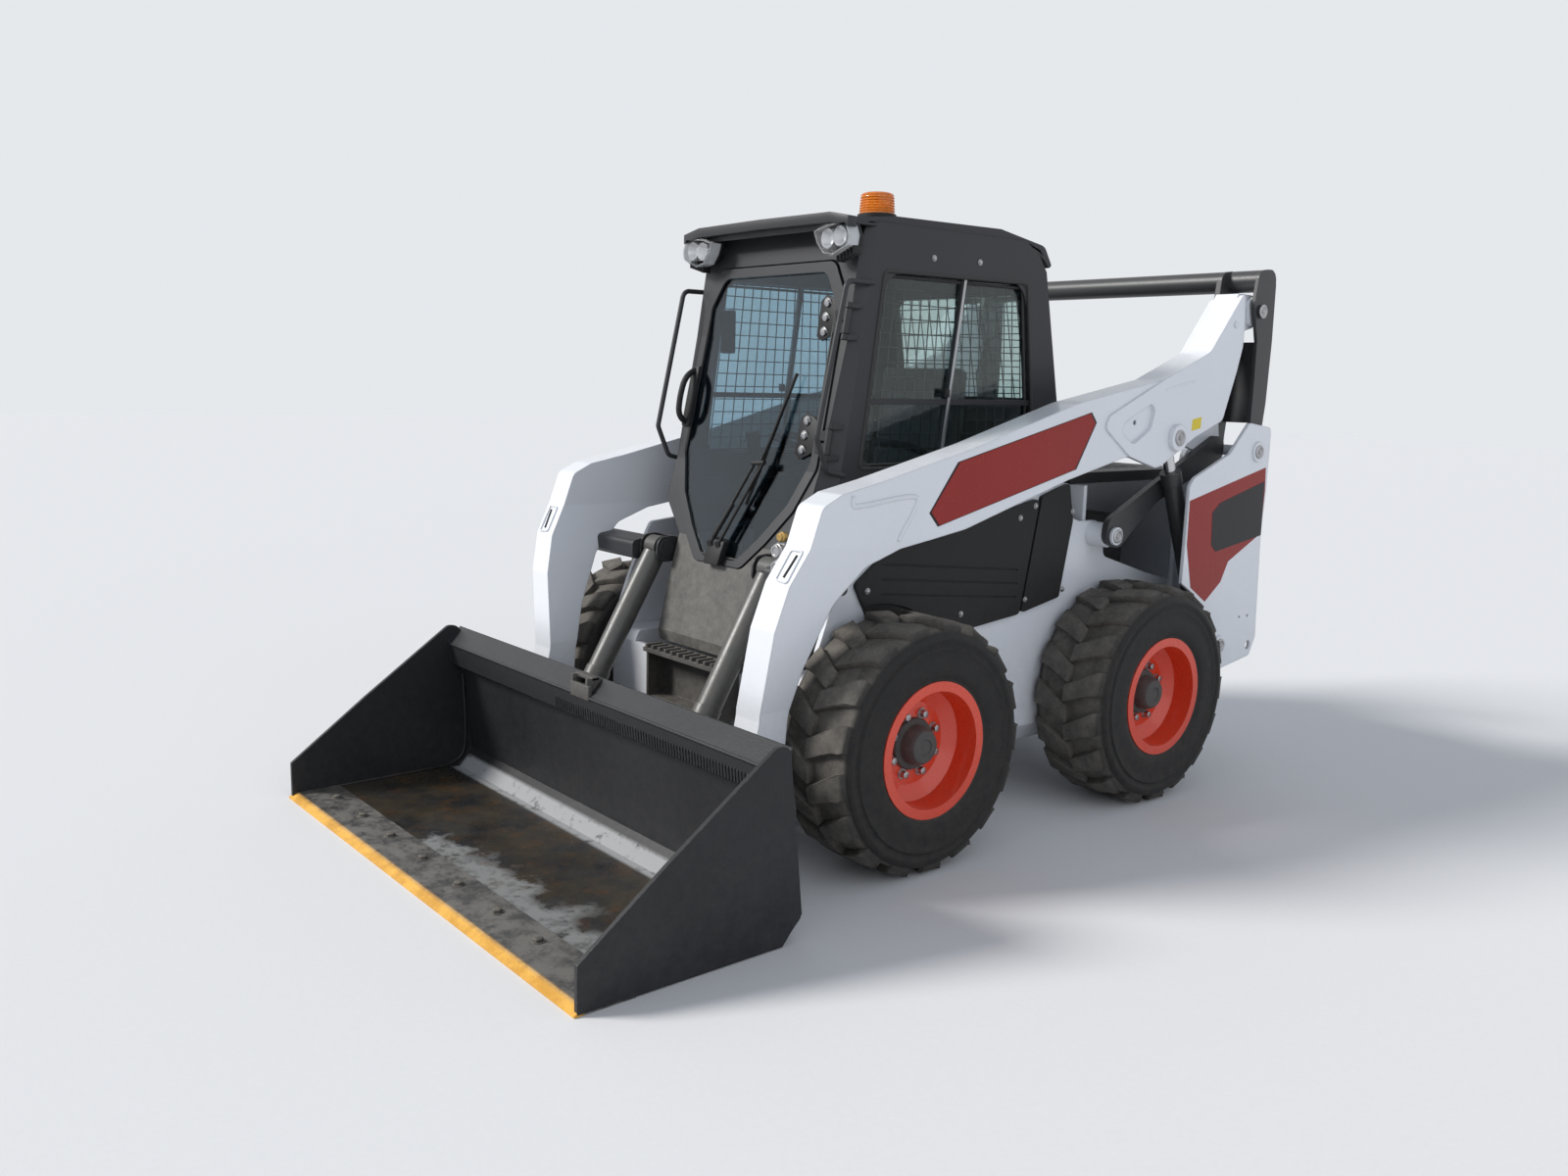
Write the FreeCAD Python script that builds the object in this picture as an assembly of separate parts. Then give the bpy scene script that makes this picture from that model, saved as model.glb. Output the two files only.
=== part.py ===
import FreeCAD, Part

import math
import os

os.makedirs("parts", exist_ok=True)

# Skid steer loader with its bucket flat on the ground and its arms down.
# Millimetres. +Z up, -Y forward, +X is the operator's left-hand side.
# Y = 0 halfway along the loader, X = 0 on its centre line, Z = 0 on the ground.

V = FreeCAD.Vector

# Stance
wheelbase = 1231
front_axle_y = -400
rear_axle_y = front_axle_y + wheelbase
tyre_radius = 415
axle_z = 410
tyre_width = 307
tyre_outer_x = 899
tyre_inner_x = tyre_outer_x - tyre_width
tyre_mid_x = tyre_outer_x - tyre_width / 2
seat_gap = 0.3

# Joint centres in side view, as (y, z)
rear_link_foot = (1475, 1308)
arm_pivot = (1450, 1856)
control_foot = (746, 998)
control_top = (1406, 1321)
lift_foot = (1301, 540)
lift_top = (961, 1367)
tilt_top = (-624, 931)
tilt_foot = (-974, 330)
bucket_pivot = (-939, 205)

# Plates of the lift linkage, from the outside in
plate = 14
upright_outer_x = 815
rear_link_outer_x = 795
arm_outer_x = 768
arm_inner_x = 655
beam_inner_plate = 16
casting_rise = 8
lift_x = 726
control_link_x = (658, 684)
control_head_x = (682, 685)
open_gap = 0.8
rear_link_inner_x = (612, 634)
upright_inner_x = (589, 607)
frame_side_x = 584
frame_wall = 18
pin_radius = 22
pin_gap = 0.5
rear_tube = (1500, 1977)
rear_tube_radius = 43

# Cylinders
lift_barrel_radius = 36
lift_rod_radius = 22
lift_barrel_length = 745
tilt_x = 335
tilt_barrel_radius = 42
tilt_rod_radius = 24
tilt_barrel_length = 545
tilt_bracket_half = 50
tilt_ear_half = 34
barrel_eye_half = 33

# Cab
cab_half = 450
cab_wall = 45
glass = 6
door_gap = 5
door_rim = 34
door_thickness = 30
door_lean = 0.171
hinge_x = 428
hinge_foot_z = 1320
hinge_foot_y = -482
door_hinge_z = (1740, 1350)
door_side_x = 404
corner_foot_y = -500
handle_x = 452
foot_well_back_y = -250
foot_well_top_z = 985
cab_floor_z = 600
roof_z = 2092
beacon_at = (330, -200)

# Couplers
coupler_x = 596
coupler_face_y = -800
coupler_z = (985, 1035)
coupler_length = 26

# Engine covers
weight_holes = (200, 440, 505)
tie_down = (1520, 515)
rear_holes = (1440, 1500, 640)
hood_z = 1180
gate_hinge = (-540, 1606)
gate_hinge_z = (680, 1050)
hood_hinge = (694, 1206)
hood_hinge_x = 420

# Bucket
bucket_half = 1016
bucket_side = 14
bucket_sheet = 12
edge_front_y = -1770
bucket_back = [(-1046, 70), (-1075, 400), (-1096, 520)]


# Helpers

def save(name, shape):
    """Write one piece to its own file."""
    shape.exportStep("parts/" + name + ".step")


def side_point(x):
    """Map (y, z) onto the plane at x."""
    return lambda a, b: V(x, a, b)


def front_point(y):
    """Map (x, z) onto the plane at y."""
    return lambda a, b: V(a, y, b)


def top_point(z):
    """Map (x, y) onto the plane at z."""
    return lambda a, b: V(a, b, z)


def outline(points, place, radius=0):
    """Closed wire through 2D points; a corner is rounded by radius or by its own third value."""
    count = len(points)
    starts = []
    ends = []
    for i, point in enumerate(points):
        a = points[i - 1]
        b = points[(i + 1) % count]
        r = point[2] if len(point) > 2 else radius
        ua = (a[0] - point[0], a[1] - point[1])
        ub = (b[0] - point[0], b[1] - point[1])
        la = math.hypot(*ua)
        lb = math.hypot(*ub)
        cosine = (ua[0] * ub[0] + ua[1] * ub[1]) / (la * lb)
        half = math.acos(max(-1, min(1, cosine))) / 2
        cut = min(r / math.tan(half), 0.48 * la, 0.48 * lb) if r and half < 1.56 else 0
        starts.append((point[0] + ua[0] / la * cut, point[1] + ua[1] / la * cut))
        ends.append((point[0] + ub[0] / lb * cut, point[1] + ub[1] / lb * cut))
    edges = []
    for i, point in enumerate(points):
        s = starts[i]
        e = ends[i]
        if math.dist(s, e) > 0.01:
            chord = ((s[0] + e[0]) / 2, (s[1] + e[1]) / 2)
            away = (chord[0] - point[0], chord[1] - point[1])
            depth = math.hypot(*away)
            cut = math.dist(s, point[:2])
            half = math.asin(min(1, math.dist(s, e) / 2 / cut))
            arc_radius = cut * math.tan(half)
            bow = (math.hypot(cut, arc_radius) - arc_radius) / depth
            top = (point[0] + away[0] * bow, point[1] + away[1] * bow)
            edges.append(Part.Arc(place(*s), place(*top), place(*e)).toShape())
        following = starts[(i + 1) % count]
        if math.dist(e, following) > 0.01:
            edges.append(Part.makeLine(place(*e), place(*following)))
    return Part.Wire(edges)


def side_prism(points, x0, x1, radius=0):
    """Solid with a (y, z) outline between two x planes."""
    face = Part.Face(outline(points, side_point(x0), radius))
    return face.extrude(V(x1 - x0, 0, 0))


def front_prism(points, y0, y1, radius=0):
    """Solid with an (x, z) outline between two y planes."""
    face = Part.Face(outline(points, front_point(y0), radius))
    return face.extrude(V(0, y1 - y0, 0))


def top_prism(points, z0, z1, radius=0):
    """Solid with an (x, y) outline between two z planes."""
    face = Part.Face(outline(points, top_point(z0), radius))
    return face.extrude(V(0, 0, z1 - z0))


def block(x0, x1, y0, y1, z0, z1):
    """Box between pairs of planes."""
    return Part.makeBox(x1 - x0, y1 - y0, z1 - z0, V(x0, y0, z0))


def cross_bar(centre, radius, x0, x1):
    """Round bar along X at a (y, z) centre."""
    return Part.makeCylinder(radius, x1 - x0, V(x0, centre[0], centre[1]), V(1, 0, 0))


def bar(a, b, radius):
    """Round bar between two points."""
    a = V(*a)
    b = V(*b)
    return Part.makeCylinder(radius, (b - a).Length, a, b - a)


def bent_tube(points, bend, radius):
    """Round tube along a line whose corners are bent to a radius."""
    points = [V(*p) for p in points]
    edges = []
    start = points[0]
    for i in range(1, len(points) - 1):
        back = (points[i - 1] - points[i]).normalize()
        on = (points[i + 1] - points[i]).normalize()
        half = back.getAngle(on) / 2
        cut = bend / math.tan(half)
        first = points[i] + back * cut
        last = points[i] + on * cut
        inward = (back + on).normalize()
        middle = points[i] + inward * (bend / math.sin(half) - bend)
        edges.append(Part.makeLine(start, first))
        edges.append(Part.Arc(first, middle, last).toShape())
        start = last
    edges.append(Part.makeLine(start, points[-1]))
    path = Part.Wire(edges)
    ring = Part.Wire([Part.makeCircle(radius, points[0], points[1] - points[0])])
    return path.makePipeShell([ring], True, False)


def turned(profile, centre):
    """Solid turned about the X axis through a (y, z) centre from (x, radius) points."""
    points = [V(x, centre[0], centre[1] + r) for x, r in profile]
    points.append(points[0])
    face = Part.Face(Part.makePolygon(points))
    return face.revolve(V(0, centre[0], centre[1]), V(1, 0, 0), 360)


def mirrored(shape):
    """The same piece on the other side of the loader."""
    return shape.mirror(V(0, 0, 0), V(1, 0, 0))


def both(shape):
    """A piece and its mirror image."""
    return [shape, mirrored(shape)]


def fused(shapes):
    """One solid out of several that overlap."""
    return shapes[0].fuse(shapes[1:]).removeSplitter()


def along(a, b, distance):
    """Point (y, z) at a distance from a towards b."""
    length = math.dist(a, b)
    return (a[0] + (b[0] - a[0]) * distance / length, a[1] + (b[1] - a[1]) * distance / length)


def circle_points(centre, radius, first, last, steps):
    """Points (y, z) on an arc, angles in degrees from +Y towards +Z."""
    angles = [math.radians(first + (last - first) * i / steps) for i in range(steps + 1)]
    return [(centre[0] + radius * math.cos(a), centre[1] + radius * math.sin(a)) for a in angles]


# Wheels

rim_radius = 222
rim_barrel_radius = 200
rim_disc_x = 786
tread_radius = 390
lugs_per_side = 17
wheel_bolts = 8
wheel_bolt_circle = 101.6


def tyre_lug(side):
    """One tread lug on top of the tyre: a kinked bar from the middle of the tread over its shoulder."""
    # across from the middle of the tread, along the tread
    edge = [
        (-10, -34), (40, -16), (80, -30), (152, -22), (152, 58), (96, 56), (62, 46), (30, 52), (-10, 30),
    ]
    corners = [V(tyre_mid_x + side * x, y, tread_radius - 22) for x, y in edge]
    return Part.Face(Part.makePolygon(corners + corners[:1])).extrude(V(0, 0, 50))


def tyre():
    """Tyre about the X axis through the origin: carcass and two rows of lugs."""
    half = tyre_width / 2
    profile = [
        # offset from the middle, radius
        (half - 16, rim_barrel_radius), (half - 16, 222), (half, 300), (half - 2, 350), (half - 36, tread_radius),
    ]
    points = [(tyre_mid_x + x, r) for x, r in profile]
    points += [(tyre_mid_x - x, r) for x, r in reversed(profile)]
    carcass = turned(points, (0, 0))
    crown = [(half - 1.5, 340), (half - 1.5, 388), (half - 36, tyre_radius)]
    crown = [(tyre_mid_x + x, r) for x, r in crown] + [(tyre_mid_x - x, r) for x, r in reversed(crown)]
    crown = turned(crown, (0, 0))
    pitch = 360 / lugs_per_side
    lugs = []
    for side in (1, -1):
        lug = tyre_lug(side).common(crown)
        for i in range(lugs_per_side):
            copy = lug.copy()
            copy.rotate(V(0, 0, 0), V(1, 0, 0), pitch * (i + (0.5 if side < 0 else 0)))
            lugs.append(copy)
    return carcass.fuse(lugs)


def hexagon(centre, radius, height):
    """Hexagonal bolt head that stands along +X from a point."""
    corners = [
        centre + V(0, radius * math.sin(math.radians(60 * i)), radius * math.cos(math.radians(60 * i)))
        for i in range(6)
    ]
    return Part.Face(Part.makePolygon(corners + corners[:1])).extrude(V(height, 0, 0))


def rim():
    """Dished steel rim with its hub and wheel bolts, about the X axis through the origin."""
    lip = tyre_width / 2 - 8
    inner_x = tyre_mid_x - lip
    outer_x = tyre_mid_x + lip
    shell = turned(
        [
            (inner_x, rim_radius), (inner_x, 190), (rim_disc_x - 14, 184), (rim_disc_x - 14, 60),
            (rim_disc_x, 60), (rim_disc_x, 136), (rim_disc_x + 26, 184), (outer_x, 190), (outer_x, rim_radius),
            (outer_x - 8, rim_radius), (outer_x - 8, rim_barrel_radius), (inner_x + 8, rim_barrel_radius),
            (inner_x + 8, rim_radius),
        ],
        (0, 0),
    )
    hub = turned(
        [
            (rim_disc_x - 26, 0), (rim_disc_x - 26, 88), (rim_disc_x - 10, 88), (rim_disc_x - 10, 62),
            (rim_disc_x + 46, 58), (rim_disc_x + 60, 46), (rim_disc_x + 60, 0),
        ],
        (0, 0),
    )
    bolts = []
    for i in range(wheel_bolts):
        a = math.radians(360 * (i + 0.5) / wheel_bolts)
        centre = V(rim_disc_x - 2, wheel_bolt_circle * math.sin(a), wheel_bolt_circle * math.cos(a))
        bolts.append(hexagon(centre, 13, 22))
    return fused([shell, hub] + bolts)


def make_wheels():
    """Four wheels, each a tyre and a rim."""
    one_tyre = tyre()
    one_rim = rim()
    for end, y in (("front", front_axle_y), ("rear", rear_axle_y)):
        for side in ("left", "right"):
            for name, shape in (("tyre", one_tyre), ("rim", one_rim)):
                copy = mirrored(shape) if side == "right" else shape.copy()
                copy.translate(V(0, y, axle_z))
                save(name + "_" + end + "_" + side, copy)


# Frame

def make_main_frame():
    """Chassis tub: two drive cases, floor, front wall, side walls, rear beam."""
    case = side_prism(
        [(-660, 330), (-590, 215), (1330, 215), (1440, 330), (1440, 600), (-640, 600), (-660, 560)],
        430, frame_side_x, 20,
    )
    case = case.cut(front_prism([(500, 210), (600, 210), (600, 315)], -700, 1500))
    wall = side_prism(
        [
            (-640, 580), (-632, 700), (-588, 812), (-498, 993, 30), (-143, 1030), (560, 1196), (590, 1190),
            (606, 1066), (662, 1049), (770, 1047, 40), (808, 1000, 20), (822, 905, 30), (1103, 820), (1313, 768),
            (1430, 750), (1430, 1130), (1590, 1130), (1590, 580),
        ],
        frame_side_x - frame_wall, frame_side_x, 8,
    )
    boss = cross_bar(control_foot, 46, frame_side_x - frame_wall - 6, control_link_x[0] - 2)
    pin = cross_bar(control_foot, pin_radius, frame_side_x - frame_wall, control_link_x[1] + 4)
    head = cross_bar(control_foot, 34, control_link_x[1] + 2, control_link_x[1] + 14)
    shapes = []
    for piece in (case, wall, boss, pin, head):
        shapes += both(piece)
    inside = frame_side_x - frame_wall + 2
    shapes.append(block(-440, 440, -640, 1440, 215, 233))
    shapes.append(block(-440, 440, -660, -640, 215, 560))
    shapes.append(block(-frame_side_x, frame_side_x, 1420, 1440, 233, 620))
    shapes.append(block(-frame_side_x, frame_side_x, 1560, 1770, 400, 545))
    shapes.append(block(-frame_side_x, frame_side_x, 1430, 1570, 400, 420))
    shapes.append(block(-inside, inside, 700, 718, 233, hood_z - seat_gap))
    for x in (-hood_hinge_x, hood_hinge_x):
        shapes.append(cross_bar(hood_hinge, 6, x - 42, x + 42))
        for low in (x - 42, x + 18):
            shapes.append(cross_bar(hood_hinge, 12, low, low + 24))
            shapes.append(block(low, low + 24, 684, 698, 1120, 1200))
            shapes.append(block(low, low + 24, 684, 702, 1120, 1160))
    for z in gate_hinge_z:
        arm = block(-inside, gate_hinge[0] - 6, gate_hinge[1] - 16, gate_hinge[1] - 4, z - 40, z + 40)
        shapes.append(arm.cut(Part.makeCylinder(17, 40, V(gate_hinge[0], gate_hinge[1], z - 20))))
        shapes.append(Part.makeCylinder(8, 80, V(gate_hinge[0], gate_hinge[1], z - 40)))
        for low in (z - 40, z + 20):
            shapes.append(Part.makeCylinder(14, 20, V(gate_hinge[0], gate_hinge[1], low)))
    frame = fused(shapes)
    for x in (-weight_holes[0], weight_holes[0]):
        for z in weight_holes[1:]:
            frame = frame.cut(Part.makeCylinder(9, 60, V(x, 1711, z), V(0, 1, 0)))
    save("main_frame", frame)


def upright():
    """Rear upright on the left: two plates round the lift linkage, a back, a floor and two pins."""
    arch = circle_points((rear_axle_y, axle_z), tyre_radius + 26, 4, 66, 6)
    front_edge = [(1015, 962, 40), (1018, 1186, 30), (1046, 1216, 30), (1281, 1304, 20)]
    rear_edge = [
        (1403, 1423, 20), (1564, 1403, 25), (1566, 1351), (1565, 1167), (1553, 968), (1570, 622),
        (1575, 546, 20), (1536, 470, 20), (1290, 435, 10),
    ]
    outer = side_prism(arch + front_edge + rear_edge, upright_outer_x - plate, upright_outer_x)
    inner_edge = [(1270, 620), (1270, 1180), (1290, 1290), (1403, 1423, 20), (1564, 1403, 20)]
    inner_edge += [(1566, 1351), (1565, 1167), (1553, 968), (1570, 622), (1560, 480), (1245, 440)]
    inner = side_prism(inner_edge, frame_side_x, upright_inner_x[1])
    between = (upright_inner_x[1] + seat_gap, upright_outer_x - plate - seat_gap)
    back = side_prism(
        [(1565, 1200), (1553, 968), (1570, 622), (1572, 560), (1558, 560), (1556, 622), (1539, 968), (1551, 1200)],
        *between,
    )
    floor = side_prism([(1262, 440), (1552, 475), (1552, 489), (1262, 454)], *between)
    pins = []
    for centre in (rear_link_foot, lift_foot):
        pins.append(cross_bar(centre, pin_radius, *between))
        outer = outer.fuse(cross_bar(centre, 40, upright_outer_x - 4, upright_outer_x + 8))
    holes = [cross_bar(tie_down, 18, upright_outer_x - 20, upright_outer_x + 5)]
    for y in rear_holes[:2]:
        holes.append(cross_bar((y, rear_holes[2]), 6, upright_outer_x - 20, upright_outer_x + 5))
    return Part.makeCompound([outer.removeSplitter().cut(holes), inner, back, floor] + pins)


def make_uprights():
    """Both rear uprights."""
    left = upright()
    save("upright_left", left)
    save("upright_right", mirrored(left))


def make_side_covers():
    """Moulded covers on the frame sides, each a wide front panel and a narrow rear one."""
    x0 = frame_side_x
    x1 = frame_side_x + 16
    front = side_prism(
        [(-354, 1004), (-494, 903), (-431, 791), (73, 705), (320, 729), (405, 1148), (-143, 1034)], x0, x1, 18
    )
    rear = side_prism([(332, 732), (543, 772), (602, 1055), (570, 1196), (417, 1152)], x0, x1, 12)
    grooves = []
    for rise in (70, 120, 170):
        strip = [(-380, 790 + rise), (300, 720 + rise), (300, 726 + rise), (-380, 796 + rise)]
        grooves.append(side_prism(strip, x1 - 4, x1 + 4))
    front = front.cut(grooves)
    front = front.cut(cross_bar((front_axle_y, axle_z), tyre_radius + 8, tyre_inner_x - 5, x1 + 1))
    save("side_covers", Part.makeCompound(both(front) + both(rear)))


def make_axle_tubes():
    """Axle housings from the drive cases to the hubs."""
    tubes = []
    for y in (front_axle_y, rear_axle_y):
        tubes += both(cross_bar((y, axle_z), 62, frame_side_x + seat_gap, rim_disc_x - 26 - seat_gap))
    save("axle_tubes", Part.makeCompound(tubes))


def make_engine():
    """Engine and pumps as one plain block."""
    save("engine", block(-260, 260, 800, 1390, 233 + seat_gap, 1010))


# Cab

door_edge = [
    # x, z, corner radius
    (312, 1940, 50), (378, 1835, 60), (394, 1262, 60), (330, 1115, 40), (232, 1000, 60), (132, 905, 50),
]
front_line = [(-352, 1990), (-395, 1700), (-492, 1250), (-604, 890), (-668, 640)]


def door_points(grow):
    """Door outline in front view, widened by grow."""
    left = [(x + grow, z + (grow if z > 1500 else -grow * 0.6), r) for x, z, r in door_edge]
    return left + [(-x, z, r) for x, z, r in reversed(left)]


def front_slab(outside, inside):
    """Slab that follows the cab's leaning front, between two depths from its outer face."""
    outer = [(y + outside, z) for y, z in front_line]
    inner = [(y + inside, z) for y, z in reversed(front_line)]
    return side_prism(outer + inner, -cab_half - 20, cab_half + 20)


window = [(-269, 1908, 45), (451, 1913, 60), (506, 1481), (520, 1262, 40), (-356, 1262, 50)]
cab_back = [(432, 2060), (508, 2018), (554, 1960), (664, 1450), (664, 1130), (560, 1100), (520, cab_floor_z)]


def make_cab_frame():
    """Cab shell with its window, door and rear window openings, and the narrow foot well at its front."""
    body = [(-330, 2060)] + front_line + [(-660, cab_floor_z)] + list(reversed(cab_back))
    shell = side_prism(body, -cab_half, cab_half)
    front_view = [
        (cab_half, 2070), (cab_half, 1160), (405, 1105), (268, 985), (262, 820), (262, cab_floor_z - 10),
    ]
    front_view += [(-x, z) for x, z in reversed(front_view)]
    slim = front_prism(front_view, -700, foot_well_back_y)
    rear_part = block(-cab_half, cab_half, foot_well_back_y, 700, 590, 2100)
    shell = shell.common(slim.fuse(rear_part))
    t = cab_wall
    hollow = [(-285, 2060 - t), (-330, 1700), (-430, 1250), (-545, 890), (-610, 640), (-600, cab_floor_z + 20)]
    hollow += [(470, cab_floor_z + 20), (505, 1145), (664 - t, 1165), (664 - t, 1440), (560 - t, 1940), (480, 2015)]
    inside_view = [(cab_half - t, 2100), (cab_half - t, 1175), (370, 1120), (236, 1000), (228, 840), (228, 500)]
    inside_view += [(-x, z) for x, z in reversed(inside_view)]
    inside = front_prism(inside_view, -700, foot_well_back_y)
    inside = inside.fuse(block(t - cab_half, cab_half - t, foot_well_back_y, 700, 500, 2100))
    shell = shell.cut(side_prism(hollow, -cab_half, cab_half).common(inside))
    shell = shell.cut(side_prism(window, -cab_half - 5, cab_half + 5))
    shell = shell.cut(front_prism(door_points(door_gap), -700, -300).common(front_slab(-60, 90)))
    rear_opening = front_prism([(330, 1880), (350, 1500), (-350, 1500), (-330, 1880)], 400, 700, 40)
    shell = shell.cut(rear_opening)
    shell = shell.cut([side_wedge(1), side_wedge(-1)])
    low_front = block(-cab_half, cab_half, -700, foot_well_back_y, 590, foot_well_top_z)
    save("foot_well", shell.common(low_front))
    shell = shell.cut(low_front)
    for z in door_hinge_z:
        shell = shell.fuse(door_hinge_lugs(z))
    save("cab_frame", shell)


def door_hinge_lugs(z):
    """The cab's half of one door hinge: two knuckles on a pin, and their feet."""
    pieces = [hinge_pin(z, 6, 60)]
    for low in (z - 60, z + 42):
        x, y, low = hinge_at(low)
        pieces.append(Part.makeCylinder(12, 18, V(x, y, low), hinge_direction))
        pieces.append(block(x - 4, x + 16, y, y + 45, low, low + 16))
    return pieces


def side_wedge(side, reach=cab_half + 1):
    """Slanted front corner of the cab: what lies outside the line from side wall to door."""
    slope = 60 / (cab_half + 1 - door_side_x)
    points = [(reach, (reach - door_side_x) * slope - 20), (door_side_x, -20), (door_side_x, -200), (reach, -200)]
    lines = []
    for z, y in ((1100, corner_foot_y), (2110, corner_foot_y + 1010 * door_lean)):
        corners = [V(side * x, y + dy, z) for x, dy in points]
        lines.append(Part.makePolygon(corners + corners[:1]))
    return Part.makeLoft(lines, True, True)


def make_cab_roof():
    """Roof shell with a front visor."""
    edge = [
        (-404, 2036), (-404, 2068, 14), (-213, 2086), (301, roof_z, 60), (545, 2052, 40), (590, 1985, 10),
        (574, 1977), (520, 2038), (438, 2060 + seat_gap), (-330, 2060 + seat_gap),
    ]
    roof = side_prism(edge, -cab_half + 8, cab_half - 8)
    save("cab_roof", roof)


def make_side_windows():
    """Glass in the two side openings, set in from the outer face."""
    pane = side_prism(window, cab_half - 26, cab_half - 26 + glass)
    save("side_windows", Part.makeCompound(both(pane)))


def make_window_bars():
    """Bars across each side window: one upright, one level."""
    x0 = cab_half - 20
    x1 = cab_half - 6
    upright_bar = side_prism([(114, 1912), (134, 1912), (48, 1262), (28, 1262)], x0, x1)
    level = side_prism([(-322, 1474), (508, 1474), (506, 1494), (-319, 1494)], x0, x1)
    bars = fused([upright_bar, level]).common(side_prism(window, x0, x1))
    save("window_bars", Part.makeCompound(both(bars)))


def make_rear_window():
    """Rear window glass."""
    pane = front_prism([(330, 1880), (350, 1500), (-350, 1500), (-330, 1880)], 400, 700, 40)
    slope = side_prism([(575 - 20, 1900), (664 - 20, 1470), (664 - 14, 1470), (575 - 14, 1900)], -400, 400)
    save("rear_window", pane.common(slope))


def make_seat():
    """Seat base, cushion and back."""
    base = block(-220, 220, -60, 400, cab_floor_z + 20, 960)
    cushion = side_prism([(-130, 960), (-130, 1050), (360, 1030), (400, 960)], -240, 240, 30)
    back = side_prism([(290, 1031), (360, 1640), (430, 1620), (400, 1031)], -235, 235, 25)
    save("seat", fused([base, cushion, back]))


def make_controls():
    """Joystick pods and arm rests beside the seat."""
    pieces = []
    pod = side_prism([(-230, 1090), (-215, 1170), (190, 1190), (210, 1080)], 262, 360, 20)
    leg = block(280, 340, 0, 120, cab_floor_z + 20 + seat_gap, 1100)
    stick = bar((311, -170, 1150), (311, -195, 1275), 14)
    grip = bar((311, -193, 1265), (311, -208, 1350), 26)
    pieces += both(fused([pod, leg, stick, grip]))
    save("controls", Part.makeCompound(pieces))


def make_lap_bar():
    """Padded bar over the operator's lap, on two side arms."""
    reach = cab_half - cab_wall
    hoop = bent_tube(
        [
            (384, 250, 1225), (384, -60, 1330), (250, -120, 1340), (-250, -120, 1340), (-384, -60, 1330),
            (-384, 250, 1225),
        ],
        40, 15,
    )
    pivot = cross_bar((250, 1225), 26, 370, reach - seat_gap)
    save("lap_bar", fused([hoop] + both(pivot)))


def make_lamps_and_beacon():
    """Work lamps at the front corners of the roof, beacon on top, lamps at the rear."""
    lamp = front_prism(
        [(318, 1990, 10), (338, 2034, 8), (436, 2034, 8), (452, 2000, 10), (410, 1958, 10), (345, 1962, 10)],
        -440, -372,
    )
    stem = block(350, 400, -380, -353.8, 1980, 2012)
    save("work_lamps", Part.makeCompound(both(fused([lamp, stem]))))
    base = Part.makeCylinder(66, 14, V(*beacon_at, 2087.3))
    lens = Part.makeCone(60, 56, 62, V(*beacon_at, 2101))
    lid = Part.makeCone(56, 46, 8, V(*beacon_at, 2163))
    save("beacon", fused([base, lens, lid]))
    tail = side_prism([(1557.8, 1050), (1584, 1050), (1584, 1160), (1563.5, 1160)], 650, 730)
    save("tail_lamps", Part.makeCompound(both(tail)))


def make_grab_handles():
    """Bent grab handles on the cab's front posts."""
    line = [(-320, 1866), (-436, 1866), (-548, 1366), (-500, 1256), (-420, 1240)]
    rail = bent_tube([(handle_x, y, z) for y, z in line], 30, 9)
    front = side_wedge(1, handle_x + 20)
    front.translate(V(0, -seat_gap, 0))
    save("grab_handles", Part.makeCompound(both(rail.common(front))))


def make_front_step():
    """Step below the cab door with gripping teeth."""
    back = -660 - seat_gap
    tread = block(-215, 215, -765, back, 575, 590)
    riser = block(-215, 215, -674, back, 400, 590)
    lower = block(-215, 215, -740, back, 400, 412)
    cheeks = [block(x - 6, x + 6, -750, back, 400, 590) for x in (-209, 209)]
    teeth = [block(x - 6, x + 6, -765, -700, 588, 604) for x in range(-195, 200, 39)]
    save("front_step", fused([tread, riser, lower] + cheeks + teeth))


# Cab door

def make_door():
    """Door: a frame that follows the leaning cab front, and its glass."""
    leaf = front_prism(door_points(0), -700, -300)
    hole = front_prism(door_points(-door_rim), -700, -300)
    frame = leaf.cut(hole).common(front_slab(-6, door_thickness - 6))
    pane = front_prism(door_points(-door_rim + 12), -700, -300).common(front_slab(4, 4 + glass))
    frame = frame.cut(front_prism(door_points(-door_rim + 13), -700, -300).common(front_slab(3, 5 + glass)))
    knuckles = []
    for z in door_hinge_z:
        x, y, low = hinge_at(z - 40)
        knuckles.append(Part.makeCylinder(12, 80, V(x, y, low), hinge_direction))
        knuckles.append(block(374, 384, y + 1, y + 26, z - 38, z + 36))
        knuckles.append(block(374, x, y - 4, y + 3, z - 38, z - 4))
        knuckles.append(block(374, x, y + 2, y + 8, z + 4, z + 36))
    frame = fused([frame] + knuckles)
    for z in door_hinge_z:
        frame = frame.cut(hinge_pin(z, 6 + pin_gap, 60))
    save("door_frame", frame)
    save("door_glass", pane)


def hinge_pin(z, radius, reach):
    """Pin along the door's hinge line, reaching both ways from a height."""
    return Part.makeCylinder(radius, 2 * reach, V(*hinge_at(z - reach)), hinge_direction)


def hinge_at(z):
    """Point on the door's hinge line at a height."""
    return (hinge_x, hinge_foot_y + (z - hinge_foot_z) * door_lean, z)


hinge_direction = V(0, door_lean, 1)


def make_wiper():
    """Wiper with two parallel arms and a blade."""
    motor = block(-40, 40, -640, -540, 930, 990).cut(front_slab(4 - seat_gap, 300))
    arm = bar((0, -625, 985), (120, -560, 1270), 6)
    blade = bar((60, -590, 1120), (205, -478, 1560), 8)
    save("wiper", fused([motor, arm, blade]))


# Arms

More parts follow.
